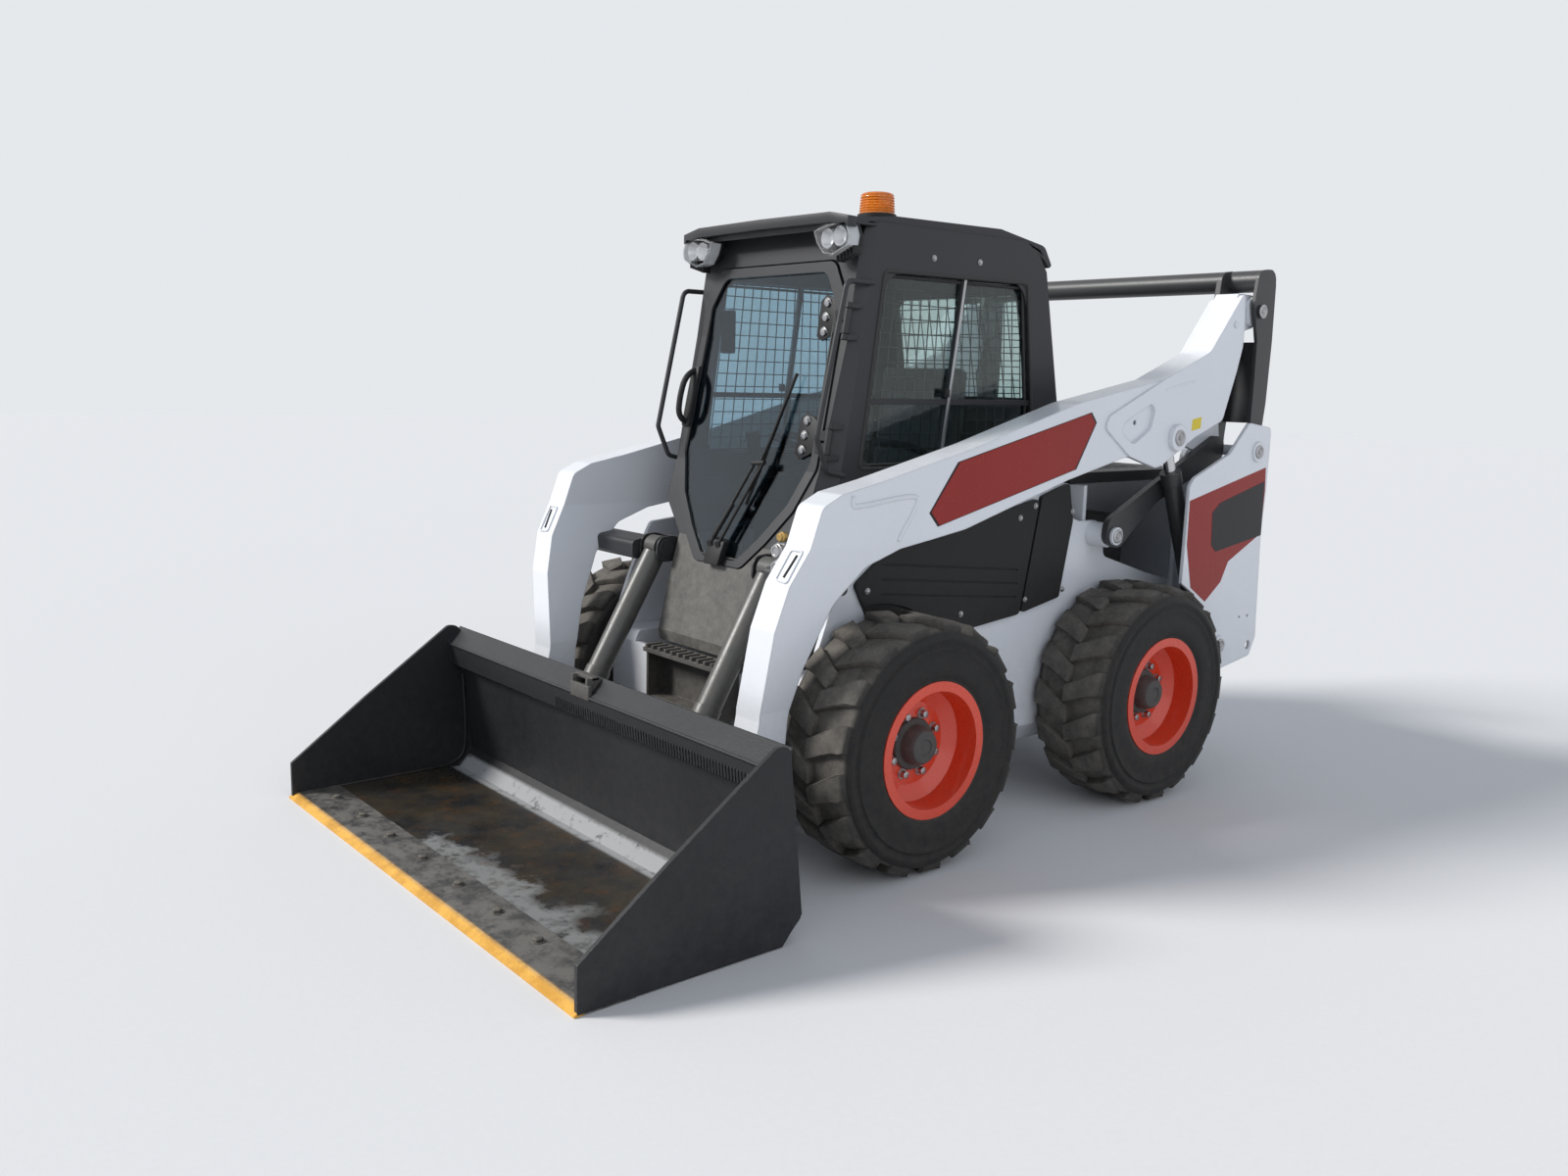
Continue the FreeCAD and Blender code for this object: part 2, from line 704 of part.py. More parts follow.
def make_arms():
    """Lift arms: beam, rear plates, leg, tied by a tube, with the tilt cylinders' brackets."""
    left_arm = lift_arm()
    save("arm_left", left_arm)
    save("arm_right", mirrored(left_arm))
    cheek = [(-572, 880), (-572, 968), (-600, 975, 30), (-660, 970, 40), (-668, 900, 40), (-640, 880)]
    near = tilt_x - tilt_bracket_half
    far = tilt_x + tilt_bracket_half
    inner = fused([side_prism(cheek, near - 8, near), cross_bar(tilt_top, 30, near - 12, near - 8)])
    reach = side_prism([(-700, 880, 20), (-700, 950, 20), (-600, 965, 20), (-575, 890, 20)], far + 4, 660)
    outer = fused([side_prism(cheek, far, far + 8), reach]).cut(left_arm)
    back = block(near - 8, far + 8, -572 + seat_gap, -560, 880, 968)
    pin = cross_bar(tilt_top, pin_radius, near + seat_gap, far - seat_gap)
    tube = cross_bar((-842, 335), 45, -575, 575).cut([left_arm, mirrored(left_arm)])
    pieces = [tube]
    for piece in (inner, outer, back, pin):
        pieces += both(piece)
    save("arm_crossmember", Part.makeCompound(pieces))


def lift_arm():
    """Left lift arm: beam with its leg, rear casting with a recess, inner plate, bosses."""
    casting = [
        (522, 1408, 35), (552, 1450, 30), (866, 1581), (1152, 1690, 60), (1338, 1903, 20), (1362, 1921, 10),
        (1374, 1790), (1373, 1719, 40), (1342, 1620, 60), (1267, 1430, 40), (1088, 1368, 60), (880, 1264, 30),
        (841, 1257, 25), (679, 1302, 60),
    ]
    beam = [
        (-713, 1217, 30), (-555, 1249), (-122, 1352), (371, 1490), *casting[2:], (600, 1285), (342, 1227),
        (-173, 1084), (-460, 1039), (-600, 990, 60), (-712, 881, 60), (-795, 690), (-834, 538), (-846, 400),
        (-872, 230, 40), (-885, 160, 50), (-985, 160, 50), (-1000, 250, 60), (-943, 538), (-928, 816),
        (-894, 955, 60), (-832, 1064, 60), (-790, 1180, 40),
    ]
    front = [
        (arm_outer_x, 1960), (arm_outer_x, 1060), (684, 560), (684, 100), (568, 100), (568, 560),
        (arm_inner_x, 1060), (arm_inner_x, 1960),
    ]
    body = side_prism(beam, 500, 800).common(front_prism(front, -1100, 1600))
    plate_x = arm_outer_x - plate
    well = [
        (700, 1200), (700, 1503), (866, 1566), (1144, 1674), (1318, 1878), (1400, 1850), (1600, 1500), (1300, 1200),
    ]
    body = body.cut(side_prism(well, arm_inner_x, plate_x))
    end = [(1300, 1850, 10), (1350, 1921, 10), (1452, 1919, 50), (1514, 1870, 55), (1480, 1797, 50), (1360, 1770, 20)]
    inner_side = [
        (650, 1400), (700, 1520), (866, 1575), (1150, 1682, 60), (1338, 1900, 20), (1452, 1919, 50),
        (1514, 1870, 55), (1480, 1797, 50), (1400, 1600), (1440, 1400, 40), (1456, 1310, 45), (1400, 1270, 45),
        (1200, 1330), (800, 1300),
    ]
    body = body.fuse([
        side_prism(end, arm_inner_x, plate_x),
        side_prism(inner_side, arm_inner_x - beam_inner_plate, arm_inner_x),
        side_prism(casting, plate_x, arm_outer_x + casting_rise),
        cross_bar(arm_pivot, 58, arm_inner_x - beam_inner_plate, arm_outer_x + 3),
        cross_bar(lift_top, 50, arm_outer_x - 4, arm_outer_x + 26),
        cross_bar(control_top, 40, arm_inner_x - beam_inner_plate, arm_inner_x),
    ])
    recess = side_prism([(590, 1405, 30), (826, 1508, 25), (800, 1400, 60), (697, 1345, 30)], arm_outer_x - 6, 800)
    return body.cut([
        recess,
        cross_bar((715, 1424), 9, arm_outer_x - 14, 800),
        cross_bar(bucket_pivot, pin_radius + pin_gap, 500, 720),
        cross_bar(arm_pivot, pin_radius + pin_gap, 600, 800),
    ]).removeSplitter()


def make_couplers():
    """Hydraulic couplers in a block on the left leg, facing forward."""
    body = front_prism([(572, 958), (637, 958), (654.4, 1058), (572, 1058)], coupler_face_y, coupler_face_y + 60)
    ends = [
        Part.makeCylinder(17, coupler_length, V(coupler_x, coupler_face_y, z), V(0, -1, 0)) for z in coupler_z
    ]
    save("couplers", fused([body] + ends))


# Rear link and control links

def rear_link_side():
    """Outline of a rear link plate, foot at the bottom."""
    return [
        (1442, 1275, 35), (1508, 1275, 35), (1540, 1500), (1549, 1743), (1545, 1980, 50), (1498, 2022, 40),
        (1420, 2010, 40), (1400, 1880, 60), (1440, 1740), (1442, 1569), (1438, 1340),
    ]


def make_rear_link():
    """Rear link: two plates a side with a cross tube on top."""
    pieces = []
    outer = side_prism(rear_link_side(), rear_link_outer_x - plate, rear_link_outer_x)
    inner = side_prism(rear_link_side(), *rear_link_inner_x)
    for piece in (outer, inner):
        for side in both(piece):
            side = side.cut(cross_bar(rear_link_foot, pin_radius + pin_gap, -900, 900))
            pieces.append(side)
    pieces.append(cross_bar(rear_tube, rear_tube_radius, -rear_link_outer_x, rear_link_outer_x))
    for piece in (
        cross_bar(arm_pivot, pin_radius, rear_link_inner_x[0] - 8, rear_link_outer_x + 8),
        side_prism([(1500, 1420), (1530, 1420), (1540, 1740), (1515, 1740)], rear_link_inner_x[0], rear_link_outer_x - 5),
    ):
        pieces += both(piece)
    save("rear_link", fused(pieces))


def make_control_links():
    """Arched bar from the frame boss to the arm's inner plate, both sides."""
    b = control_foot
    d = control_top
    edge = [
        (b[0] - 48, b[1] - 20, 40), (b[0] - 40, b[1] + 60, 50), (946, 1170, 200), (d[0] - 20, d[1] + 46, 36),
        (d[0] + 39, d[1] + 30, 36), (d[0] + 30, d[1] - 46, 36), (995, 1112, 200), (b[0] + 30, b[1] - 52, 45),
    ]
    link = side_prism(edge, *control_link_x)
    link = link.cut(cross_bar(b, pin_radius + pin_gap, 600, 720))
    link = fused([
        link, cross_bar(d, pin_radius, arm_inner_x + open_gap, control_link_x[1]), cross_bar(d, 30, *control_head_x)
    ])
    save("control_link_left", link)
    save("control_link_right", mirrored(link))


# Cylinders

def cylinder_pair(name, x, foot, top, barrel_radius, rod_radius, barrel_length, rod_start, pin_x):
    """Barrel from its foot, rod with its own eye pin to its top, for both sides of the loader."""
    reach = math.dist(foot, top)
    bore_start = 44
    barrel = fused([
        bar((x, *along(foot, top, 30)), (x, *along(foot, top, barrel_length)), barrel_radius),
        bar((x, *along(foot, top, barrel_length - 46)), (x, *along(foot, top, barrel_length + 6)), barrel_radius + 4),
        cross_bar(foot, 40, x - barrel_eye_half, x + barrel_eye_half),
    ])
    bore = bar((x, *along(foot, top, bore_start)), (x, *along(foot, top, barrel_length + 20)), rod_radius + 0.4)
    barrel = barrel.cut([bore, cross_bar(foot, pin_radius + pin_gap, x - 100, x + 100)])
    rod = fused([
        bar((x, *along(foot, top, rod_start)), (x, *along(foot, top, reach - 24)), rod_radius),
        cross_bar(top, rod_radius + 14, x - rod_radius - 3, x + rod_radius + 3),
        cross_bar(top, pin_radius, *pin_x),
    ])
    for side, b, r in (("left", barrel, rod), ("right", mirrored(barrel), mirrored(rod))):
        save(name + "_barrel_" + side, b)
        save(name + "_rod_" + side, r)


def make_cylinders():
    """Lift cylinders from the uprights to the arms, tilt cylinders from the arms to the attachment frame."""
    cylinder_pair(
        "lift", lift_x, lift_foot, lift_top, lift_barrel_radius, lift_rod_radius, lift_barrel_length, 46,
        (arm_inner_x + open_gap, arm_outer_x - plate - open_gap),
    )
    cylinder_pair(
        "tilt", tilt_x, tilt_top, tilt_foot, tilt_barrel_radius, tilt_rod_radius, tilt_barrel_length, 95,
        (tilt_x - tilt_ear_half + open_gap, tilt_x + tilt_ear_half - open_gap),
    )


# Attachment frame and bucket

def make_attach_frame():
    """Frame that carries the bucket: leaning plate, bottom beam, ears, pivot pins."""
    back = [(bucket_back_y(z) + seat_gap, z) for z in (88, 400, 505)]
    face = side_prism(back + [(y + 26, z) for y, z in reversed(back)], -540, 540)
    openings = [block(s * tilt_x - 48, s * tilt_x + 48, -1200, -900, 262, 430) for s in (-1, 1)]
    openings.append(block(-170, 170, -1200, -900, 200, 430))
    face = face.cut(openings)
    beam = side_prism([(-1032, 92), (-1035, 150), (-920, 160), (-900, 110), (-930, 92)], -540, 540)
    pieces = [face, beam]
    for s in (-1, 1):
        for x in (tilt_x - tilt_ear_half - 12, tilt_x + tilt_ear_half):
            pieces.append(side_prism(
                [(-1035, 150), (-1050, 300), (-1040, 375, 20), (-950, 375, 40), (-930, 300, 40), (-925, 150)],
                min(s * x, s * (x + 12)), max(s * x, s * (x + 12))))
        pieces.append(side_prism(
            [(-1030, 92), (-1050, 300), (-900, 260, 40), (-895, 150, 40), (-930, 92)], min(s * 500, s * 540), max(s * 500, s * 540)))
        pieces.append(cross_bar(bucket_pivot, pin_radius, min(s * 500, s * 694), max(s * 500, s * 694)))
        pieces.append(cross_bar(bucket_pivot, 36, min(s * 688, s * 698), max(s * 688, s * 698)))
    save("attach_frame", fused(pieces))


def bucket_back_y(z):
    """Outer face of the bucket's back at a height."""
    points = bucket_back
    for (y0, z0), (y1, z1) in zip(points, points[1:]):
        if z <= z1:
            return y0 + (y1 - y0) * (z - z0) / (z1 - z0)
    return points[-1][0]


def make_bucket():
    """Bucket: bent sheet, side plates, stiffened top lip."""
    t = bucket_sheet
    sheet = [
        (-1590, 2), (-1114, 2), *bucket_back, (-1090, 568),
        (-1147, 512), (-1138, 429), (-1088, 400), (-1058, 78), (-1118, 2 + t), (-1590, 2 + t),
    ]
    shell = side_prism(sheet, -bucket_half + 2, bucket_half - 2)
    side = side_prism(
        [
            (-1761, 4), (-1761, 132, 10), (-1481, 340), (-1144, 578, 30), (-1100, 572, 30), (-1068, 298),
            (-1044, 80), (-1112, 2),
        ],
        bucket_half - bucket_side, bucket_half,
    )
    save("bucket", fused([shell] + both(side)))
    edge = side_prism(
        [(edge_front_y, 0), (edge_front_y, 5), (-1742, 20), (-1590, 20), (-1590, 0)], -bucket_half, bucket_half
    )
    save("cutting_edge", edge.cut(both(side)))


# Engine covers

def make_hood():
    """Engine hood behind the cab with a grille, hinged at its front edge."""
    hood = side_prism(
        [(700, hood_z), (700, hood_z + 42), (1500, hood_z + 42, 60), (1580, hood_z + 10), (1580, hood_z)], -500, 500
    )
    hood = hood.cut([block(-380, 380, y, y + 24, 1200, 1240) for y in range(800, 1400, 60)])
    for x in (-hood_hinge_x, hood_hinge_x):
        hood = hood.cut([cross_bar(hood_hinge, 14, low - 0.5, low + 24.5) for low in (x - 42, x + 18)])
        hood = hood.fuse(cross_bar(hood_hinge, 12, x - 17, x + 17))
        hood = hood.cut(cross_bar(hood_hinge, 6 + pin_gap, x - 60, x + 60))
    save("hood", hood)


def make_tailgate():
    """Rear door with louvres."""
    door = block(-500, 500, 1602, 1660, 560, 1170)
    slots = [block(-400, 400, 1630, 1670, z, z + 26) for z in range(640, 1100, 58)]
    door = door.cut(slots)
    for z in gate_hinge_z:
        leaf = block(gate_hinge[0], -480, gate_hinge[1] - 4, gate_hinge[1] + 8, z - 18, z + 18)
        knuckle = Part.makeCylinder(14, 36, V(gate_hinge[0], gate_hinge[1], z - 18))
        bore = Part.makeCylinder(8 + pin_gap, 40, V(gate_hinge[0], gate_hinge[1], z - 20))
        door = door.fuse([leaf, knuckle]).cut(bore)
    save("tailgate", door)


make_wheels()
make_main_frame()
make_uprights()
make_side_covers()
make_axle_tubes()
make_engine()
make_cab_frame()
make_cab_roof()
make_side_windows()
make_window_bars()
make_rear_window()
make_seat()
make_controls()
make_lap_bar()
make_lamps_and_beacon()
make_grab_handles()
make_front_step()
make_door()
make_wiper()
make_arms()
make_couplers()
make_rear_link()
make_control_links()
make_cylinders()
make_attach_frame()
make_bucket()
make_hood()
make_tailgate()
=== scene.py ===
"""Looks of a skid steer loader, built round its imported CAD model. Lengths in the tables are millimetres."""

import math

import bpy
from mathutils import Matrix, Vector


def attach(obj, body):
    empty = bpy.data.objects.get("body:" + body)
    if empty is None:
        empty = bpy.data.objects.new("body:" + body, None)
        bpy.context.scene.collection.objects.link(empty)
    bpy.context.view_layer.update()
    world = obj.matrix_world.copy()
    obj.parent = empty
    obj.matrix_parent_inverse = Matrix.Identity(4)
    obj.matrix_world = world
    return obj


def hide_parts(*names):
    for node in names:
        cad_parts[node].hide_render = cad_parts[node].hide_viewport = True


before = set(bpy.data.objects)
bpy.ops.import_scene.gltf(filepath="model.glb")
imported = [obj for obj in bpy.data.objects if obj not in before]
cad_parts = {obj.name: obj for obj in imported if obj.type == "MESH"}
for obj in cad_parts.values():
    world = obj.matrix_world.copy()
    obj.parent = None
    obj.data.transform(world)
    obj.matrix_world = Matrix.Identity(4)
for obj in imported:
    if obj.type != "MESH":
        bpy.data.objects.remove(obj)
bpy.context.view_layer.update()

bl_info = {
    "name": "Skid Steer Loader",
    "version": (1, 0, 0),
    "blender": (4, 5, 0),
    "location": "3D View > Sidebar > Loader",
    "description": "Dresses the packed model of a skid steer loader",
    "category": "Object",
}

MM = 0.001
SIDES = (("left", 1), ("right", -1))
AXLES = (("front", -400), ("rear", 831))
AXLE_Z = 410
TYRE_X = 745.5
NUT_CIRCLE = 101.6
ARM_FACE = 768
UPRIGHT_FACE = 815


# Modelling helpers

def at(x, y, z):
    """Point in metres from millimetres."""
    return Vector((x, y, z)) * MM


def clear_selection():
    """Leave edit mode and select nothing."""
    if bpy.context.object and bpy.context.object.mode != "OBJECT":
        bpy.ops.object.mode_set(mode="OBJECT")
    bpy.ops.object.select_all(action="DESELECT")


def named(name):
    """The piece that a primitive has just made, under its own name."""
    piece = bpy.context.object
    piece.name = name
    piece.data.name = name
    return piece


def activate(piece):
    """Select one piece only."""
    clear_selection()
    piece.select_set(True)
    bpy.context.view_layer.objects.active = piece


def edit_all(piece):
    """Open a piece in edit mode with everything selected."""
    activate(piece)
    bpy.ops.object.mode_set(mode="EDIT")
    bpy.ops.mesh.select_all(action="SELECT")


def close_edit():
    """Make all faces point outwards and leave edit mode."""
    bpy.ops.mesh.select_all(action="SELECT")
    bpy.ops.mesh.normals_make_consistent(inside=False)
    bpy.ops.object.mode_set(mode="OBJECT")


def ring(name, points, filled):
    """Closed ring of edges or one face through points in metres."""
    clear_selection()
    fill = "NGON" if filled else "NOTHING"
    bpy.ops.mesh.primitive_circle_add(vertices=len(points), fill_type=fill)
    piece = named(name)
    for vertex, point in zip(piece.data.vertices, points):
        vertex.co = point
    return piece


def bevelled(piece, width, segments=2, angle=30):
    """Round a piece's edges by a width in millimetres."""
    activate(piece)
    modifier = piece.modifiers.new("Edges", "BEVEL")
    modifier.width = width * MM
    modifier.segments = segments
    modifier.limit_method = "ANGLE"
    modifier.angle_limit = math.radians(angle)
    bpy.ops.object.modifier_apply(modifier=modifier.name)
    return piece


def hollowed(piece, core):
    """Cut a core out of a piece. The core is used up."""
    cut = piece.modifiers.new("Hollow", "BOOLEAN")
    cut.object = core
    activate(piece)
    bpy.ops.object.modifier_apply(modifier=cut.name)
    bpy.data.objects.remove(core)
    return piece


def plate(name, points, thickness, bevel=0.0, segments=2):
    """Flat plate from an outline in millimetres, thickened along a vector in millimetres."""
    piece = ring(name, [at(*p) for p in points], True)
    edit_all(piece)
    bpy.ops.mesh.extrude_region_move(TRANSFORM_OT_translate={"value": at(*thickness)})
    close_edit()
    if bevel:
        bevelled(piece, bevel, segments)
    return piece


def side_plate(name, outline, x0, x1, bevel=0.0, segments=2):
    """Plate from a (y, z) outline between two x planes."""
    return plate(name, [(x0, y, z) for y, z in outline], (x1 - x0, 0, 0), bevel, segments)


def front_plate(name, outline, y0, y1, bevel=0.0, segments=2):
    """Plate from an (x, z) outline between two y planes."""
    return plate(name, [(x, y0, z) for x, z in outline], (0, y1 - y0, 0), bevel, segments)


def slab(name, low, high, bevel=2.0, segments=2):
    """Rounded block between two corners in millimetres."""
    (x0, y0, z0), (x1, y1, z1) = low, high
    return plate(name, [(x0, y0, z0), (x1, y0, z0), (x1, y1, z0), (x0, y1, z0)], (0, 0, z1 - z0), bevel, segments)


def lathe(name, profile, centre, axis=(1, 0, 0), steps=48):
    """Closed profile of (along, radius) millimetres turned about an axis through a centre."""
    axis = Vector(axis).normalized()
    across = axis.orthogonal().normalized()
    points = [at(*centre) + (axis * along + across * radius) * MM for along, radius in profile]
    piece = ring(name, points, False)
    edit_all(piece)
    bpy.ops.mesh.spin(steps=steps, angle=math.tau, center=at(*centre), axis=axis)
    bpy.ops.mesh.select_all(action="SELECT")
    bpy.ops.mesh.remove_doubles(threshold=0.00002)
    close_edit()
    return piece


def tube(name, points, radius, bend=True, sides=4):
    """Round rod or hose along a smooth line through the run of points in millimetres."""
    clear_selection()
    bpy.ops.curve.primitive_nurbs_path_add()
    piece = named(name)
    curve = piece.data
    curve.splines.clear()
    spline = curve.splines.new("NURBS" if bend else "POLY")
    spline.points.add(len(points) - 1)
    for point, place in zip(spline.points, points):
        point.co = (*at(*place), 1)
    if bend:
        spline.order_u = 3
        spline.use_endpoint_u = True
        spline.resolution_u = 8
    curve.bevel_depth = radius * MM
    curve.bevel_resolution = sides
    curve.use_fill_caps = True
    curve.dimensions = "3D"
    activate(piece)
    bpy.ops.object.convert(target="MESH")
    return bpy.context.object


def joined(name, pieces):
    """One piece out of several."""
    clear_selection()
    for piece in pieces:
        piece.select_set(True)
    bpy.context.view_layer.objects.active = pieces[0]
    if len(pieces) > 1:
        bpy.ops.object.join()
    return named(name)


def copied(piece, matrix, name):
    """Copy of a piece with its own mesh, moved by a matrix."""
    copy = piece.copy()
    copy.data = piece.data.copy()
    bpy.context.scene.collection.objects.link(copy)
    copy.data.transform(matrix)
    if matrix.determinant() < 0:
        copy.data.flip_normals()
    copy.name = name
    copy.data.name = name
    return copy


def spread(piece, matrices, name):
    """Copies of a piece at each matrix, as one piece. The first one is used up."""
    copies = [copied(piece, matrix, name + "_part") for matrix in matrices]
    bpy.data.objects.remove(piece)
    return joined(name, copies)


def placed(position, direction, turn=0.0):
    """Matrix that carries a piece modelled at the origin, facing +Z, to a place in millimetres."""
    facing = Vector(direction).to_track_quat("Z", "Y").to_matrix().to_4x4()
    return Matrix.Translation(at(*position)) @ facing @ Matrix.Rotation(turn, 4, "Z")


def finish(piece, body, finish_name, smooth=35.0):
    """Set a piece's place, shading, material and body."""
    activate(piece)
    bpy.ops.object.transform_apply(location=True, rotation=True, scale=True)
    bpy.ops.object.shade_smooth_by_angle(angle=math.radians(smooth))
    piece.data.materials.clear()
    piece.data.materials.append(materials[finish_name])
    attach(piece, body)
    return piece


def mirrored(piece, name):
    """Copy of a piece on the loader's other side."""
    return copied(piece, Matrix.Scale(-1, 4, (1, 0, 0)), name)


def paired(piece, name, body, finish_name):
    """A piece for the left-hand side and its mirror image, on one body."""
    other = mirrored(piece, name + "_right")
    piece.name = name + "_left"
    finish(piece, body, finish_name)
    finish(other, body, finish_name)
    return piece, other


# Materials

class Net:
    """A node tree and short ways to fill it."""

    def __init__(self, tree):
        self.tree = tree

    def wire(self, value, socket):
        """Feed a socket from another socket, or set its value."""
        if isinstance(value, bpy.types.NodeSocket):
            self.tree.links.new(value, socket)
        else:
            socket.default_value = value

    def add(self, kind, **inputs):
        """Node of a kind; an underscore in an input's name stands for a space."""
        node = self.tree.nodes.new(kind)
        for name, value in inputs.items():
            self.wire(value, node.inputs[name.replace("_", " ")])
        return node

    def noise(self, place, scale, detail=5.0, roughness=0.6):
        """Noise value over a place socket."""
        node = self.add("ShaderNodeTexNoise", Vector=place, Scale=scale, Detail=detail, Roughness=roughness)
        return node.outputs["Fac"]

    def ramp(self, value, low, high, out_low=0.0, out_high=1.0):
        """Value stretched from low..high to another range, clamped."""
        node = self.add(
            "ShaderNodeMapRange", Value=value, From_Min=low, From_Max=high, To_Min=out_low, To_Max=out_high
        )
        return node.outputs["Result"]

    def maths(self, operation, a, b, clamp=False):
        """Result of a Math node on two values."""
        node = self.tree.nodes.new("ShaderNodeMath")
        node.operation = operation
        node.use_clamp = clamp
        self.wire(a, node.inputs[0])
        self.wire(b, node.inputs[1])
        return node.outputs[0]

    def times(self, a, b):
        """Product of two values, kept between 0 and 1."""
        return self.maths("MULTIPLY", a, b, clamp=True)

    def mix(self, a, b, factor):
        """Mix of two colours."""
        node = self.tree.nodes.new("ShaderNodeMix")
        node.data_type = "RGBA"
        self.wire(factor, node.inputs[0])
        self.wire(a, node.inputs[6])
        self.wire(b, node.inputs[7])
        return node.outputs[2]

    def axes(self, vector):
        """X, Y and Z sockets of a vector."""
        return self.add("ShaderNodeSeparateXYZ", Vector=vector).outputs


def new_group(name, inputs, outputs):
    """Empty node group with named inputs and outputs, and its input and output nodes."""
    group = bpy.data.node_groups.new(name, "ShaderNodeTree")
    for label, kind, value in inputs:
        socket = group.interface.new_socket(name=label, in_out="INPUT", socket_type="NodeSocket" + kind)
        socket.default_value = value
    for label, kind in outputs:
        group.interface.new_socket(name=label, in_out="OUTPUT", socket_type="NodeSocket" + kind)
    net = Net(group)
    return net, net.add("NodeGroupInput").outputs, net.add("NodeGroupOutput").inputs


def build_finish_group():
    """Colour that varies over a surface, road dust low down and on top, and a fine grain."""
    net, given, out = new_group(
        "Surface Finish",
        [
            ("Base", "Color", (0.8, 0.8, 0.8, 1)), ("Shade", "Color", (0.6, 0.6, 0.6, 1)), ("Mottle", "Float", 0.3),
            ("Dust Colour", "Color", (0.2, 0.17, 0.13, 1)), ("Dust", "Float", 0.3),
            ("Splash Height", "Float", 0.9), ("Grain Scale", "Float", 200.0),
        ],
        [("Colour", "Color"), ("Dust Mask", "Float"), ("Height", "Float")],
    )
    place = net.add("ShaderNodeTexCoord").outputs
    patches = net.ramp(net.noise(place["Object"], 2.6), 0.3, 0.7)
    tone = net.mix(given["Base"], given["Shade"], net.times(patches, given["Mottle"]))
    low = net.ramp(net.axes(place["Object"])["Z"], 0.0, given["Splash Height"], 1.0, 0.0)
    top = net.ramp(net.axes(place["Normal"])["Z"], 0.5, 1.0, 0.0, 0.45)
    breakup = net.ramp(net.noise(place["Object"], 28.0, 9.0, 0.72), 0.36, 0.68)
    reach = net.maths("ADD", low, top)
    mask = net.times(net.times(reach, breakup), given["Dust"])
    net.wire(net.mix(tone, given["Dust Colour"], mask), out["Colour"])
    net.wire(mask, out["Dust Mask"])
    net.wire(net.noise(place["Object"], given["Grain Scale"], 4.0), out["Height"])
    return net.tree


def build_edge_group():
    """Rounded normal at sharp edges, and a mask of where the finish has worn off them; on the cab the same mask lays
    painted highlights along the edges.
    """
    net, given, out = new_group(
        "Rounded Edges", [("Radius", "Float", 0.003)], [("Edge Wear And Highlight", "Float"), ("Normal", "Vector")]
    )
    bevel = net.add("ShaderNodeBevel", Radius=given["Radius"])
    bevel.samples = 4
    shape = net.add("ShaderNodeNewGeometry").outputs
    dot = net.tree.nodes.new("ShaderNodeVectorMath")
    dot.operation = "DOT_PRODUCT"
    net.wire(bevel.outputs["Normal"], dot.inputs[0])
    net.wire(shape["Normal"], dot.inputs[1])
    corner = net.ramp(dot.outputs["Value"], 0.97, 0.86)
    place = net.add("ShaderNodeTexCoord").outputs
    chips = net.ramp(net.noise(place["Object"], 55.0, 6.0, 0.7), 0.48, 0.62)
    net.wire(net.times(corner, chips), out["Edge Wear And Highlight"])
    net.wire(bevel.outputs["Normal"], out["Normal"])
    return net.tree


groups = {}
materials = {}


def start_material(name, **constants):
    """New node material; returns its net and its Principled shader with constant values set."""
    material = bpy.data.materials.new(name)
    material.use_nodes = True
    net = Net(material.node_tree)
    shader = material.node_tree.nodes["Principled BSDF"]
    for label, value in constants.items():
        shader.inputs[label.replace("_", " ")].default_value = value
    materials[name] = material
    return net, shader


def use_group(net, name, **inputs):
    """Instance of a shared group; returns its outputs."""
    node = net.tree.nodes.new("ShaderNodeGroup")
    node.node_tree = groups[name]
    for label, value in inputs.items():
        net.wire(value, node.inputs[label.replace("_", " ")])
    return node.outputs


def coat_finish(
    name, base, shade, roughness, mottle=0.35, dust=0.35, splash=0.9, dust_colour=(0.19, 0.165, 0.13),
    grain=240.0, bump=0.0004, radius=0.003, edge_wear_and_highlight=0.0, edge_wear_and_highlight_colour=(0.3, 0.3, 0.3), **constants,
):
    """Paint, plastic or metal: varied colour, dust, worn edges (on the cab partly painted edge highlights), uneven
    gloss and fine grain.
    """
    net, shader = start_material(name, **constants)
    surface = use_group(
        net, "finish", Base=(*base, 1), Shade=(*shade, 1), Mottle=mottle, Dust=dust, Splash_Height=splash,
        Dust_Colour=(*dust_colour, 1), Grain_Scale=grain,
    )
    edges = use_group(net, "edges", Radius=radius)
    colour = surface["Colour"]
    # Edge colour: worn paint, and on the cab also painted highlights along the edges.
    if edge_wear_and_highlight:
        colour = net.mix(colour, (*edge_wear_and_highlight_colour, 1), net.times(edges["Edge Wear And Highlight"], edge_wear_and_highlight))
    net.wire(colour, shader.inputs["Base Color"])
    gloss = net.ramp(surface["Height"], 0.3, 0.7, roughness * 0.85, roughness * 1.15)
    dull = net.maths("ADD", gloss, net.maths("MULTIPLY", surface["Dust Mask"], 0.4), clamp=True)
    net.wire(dull, shader.inputs["Roughness"])
    relief = net.add("ShaderNodeBump", Height=surface["Height"], Normal=edges["Normal"], Distance=bump)
    relief.inputs["Strength"].default_value = 0.6
    net.wire(relief.outputs["Normal"], shader.inputs["Normal"])
    return materials[name]


def build_weave_group():
    """Crossed threads of a woven cloth as a height and a shade mask."""
    net, given, out = new_group(
        "Woven Threads", [("Thread Scale", "Float", 900.0)], [("Height", "Float"), ("Shade Mask", "Float")]
    )
    place = net.add("ShaderNodeTexCoord").outputs["Object"]
    waves = []
    for direction in ("X", "Z"):
        wave = net.add("ShaderNodeTexWave", Vector=place, Scale=given["Thread Scale"], Distortion=1.5)
        wave.bands_direction = direction
        waves.append(wave.outputs["Fac"])
    crossing = net.maths("MAXIMUM", waves[0], waves[1])
    net.wire(crossing, out["Height"])
    net.wire(net.noise(place, 40.0), out["Shade Mask"])
    return net.tree


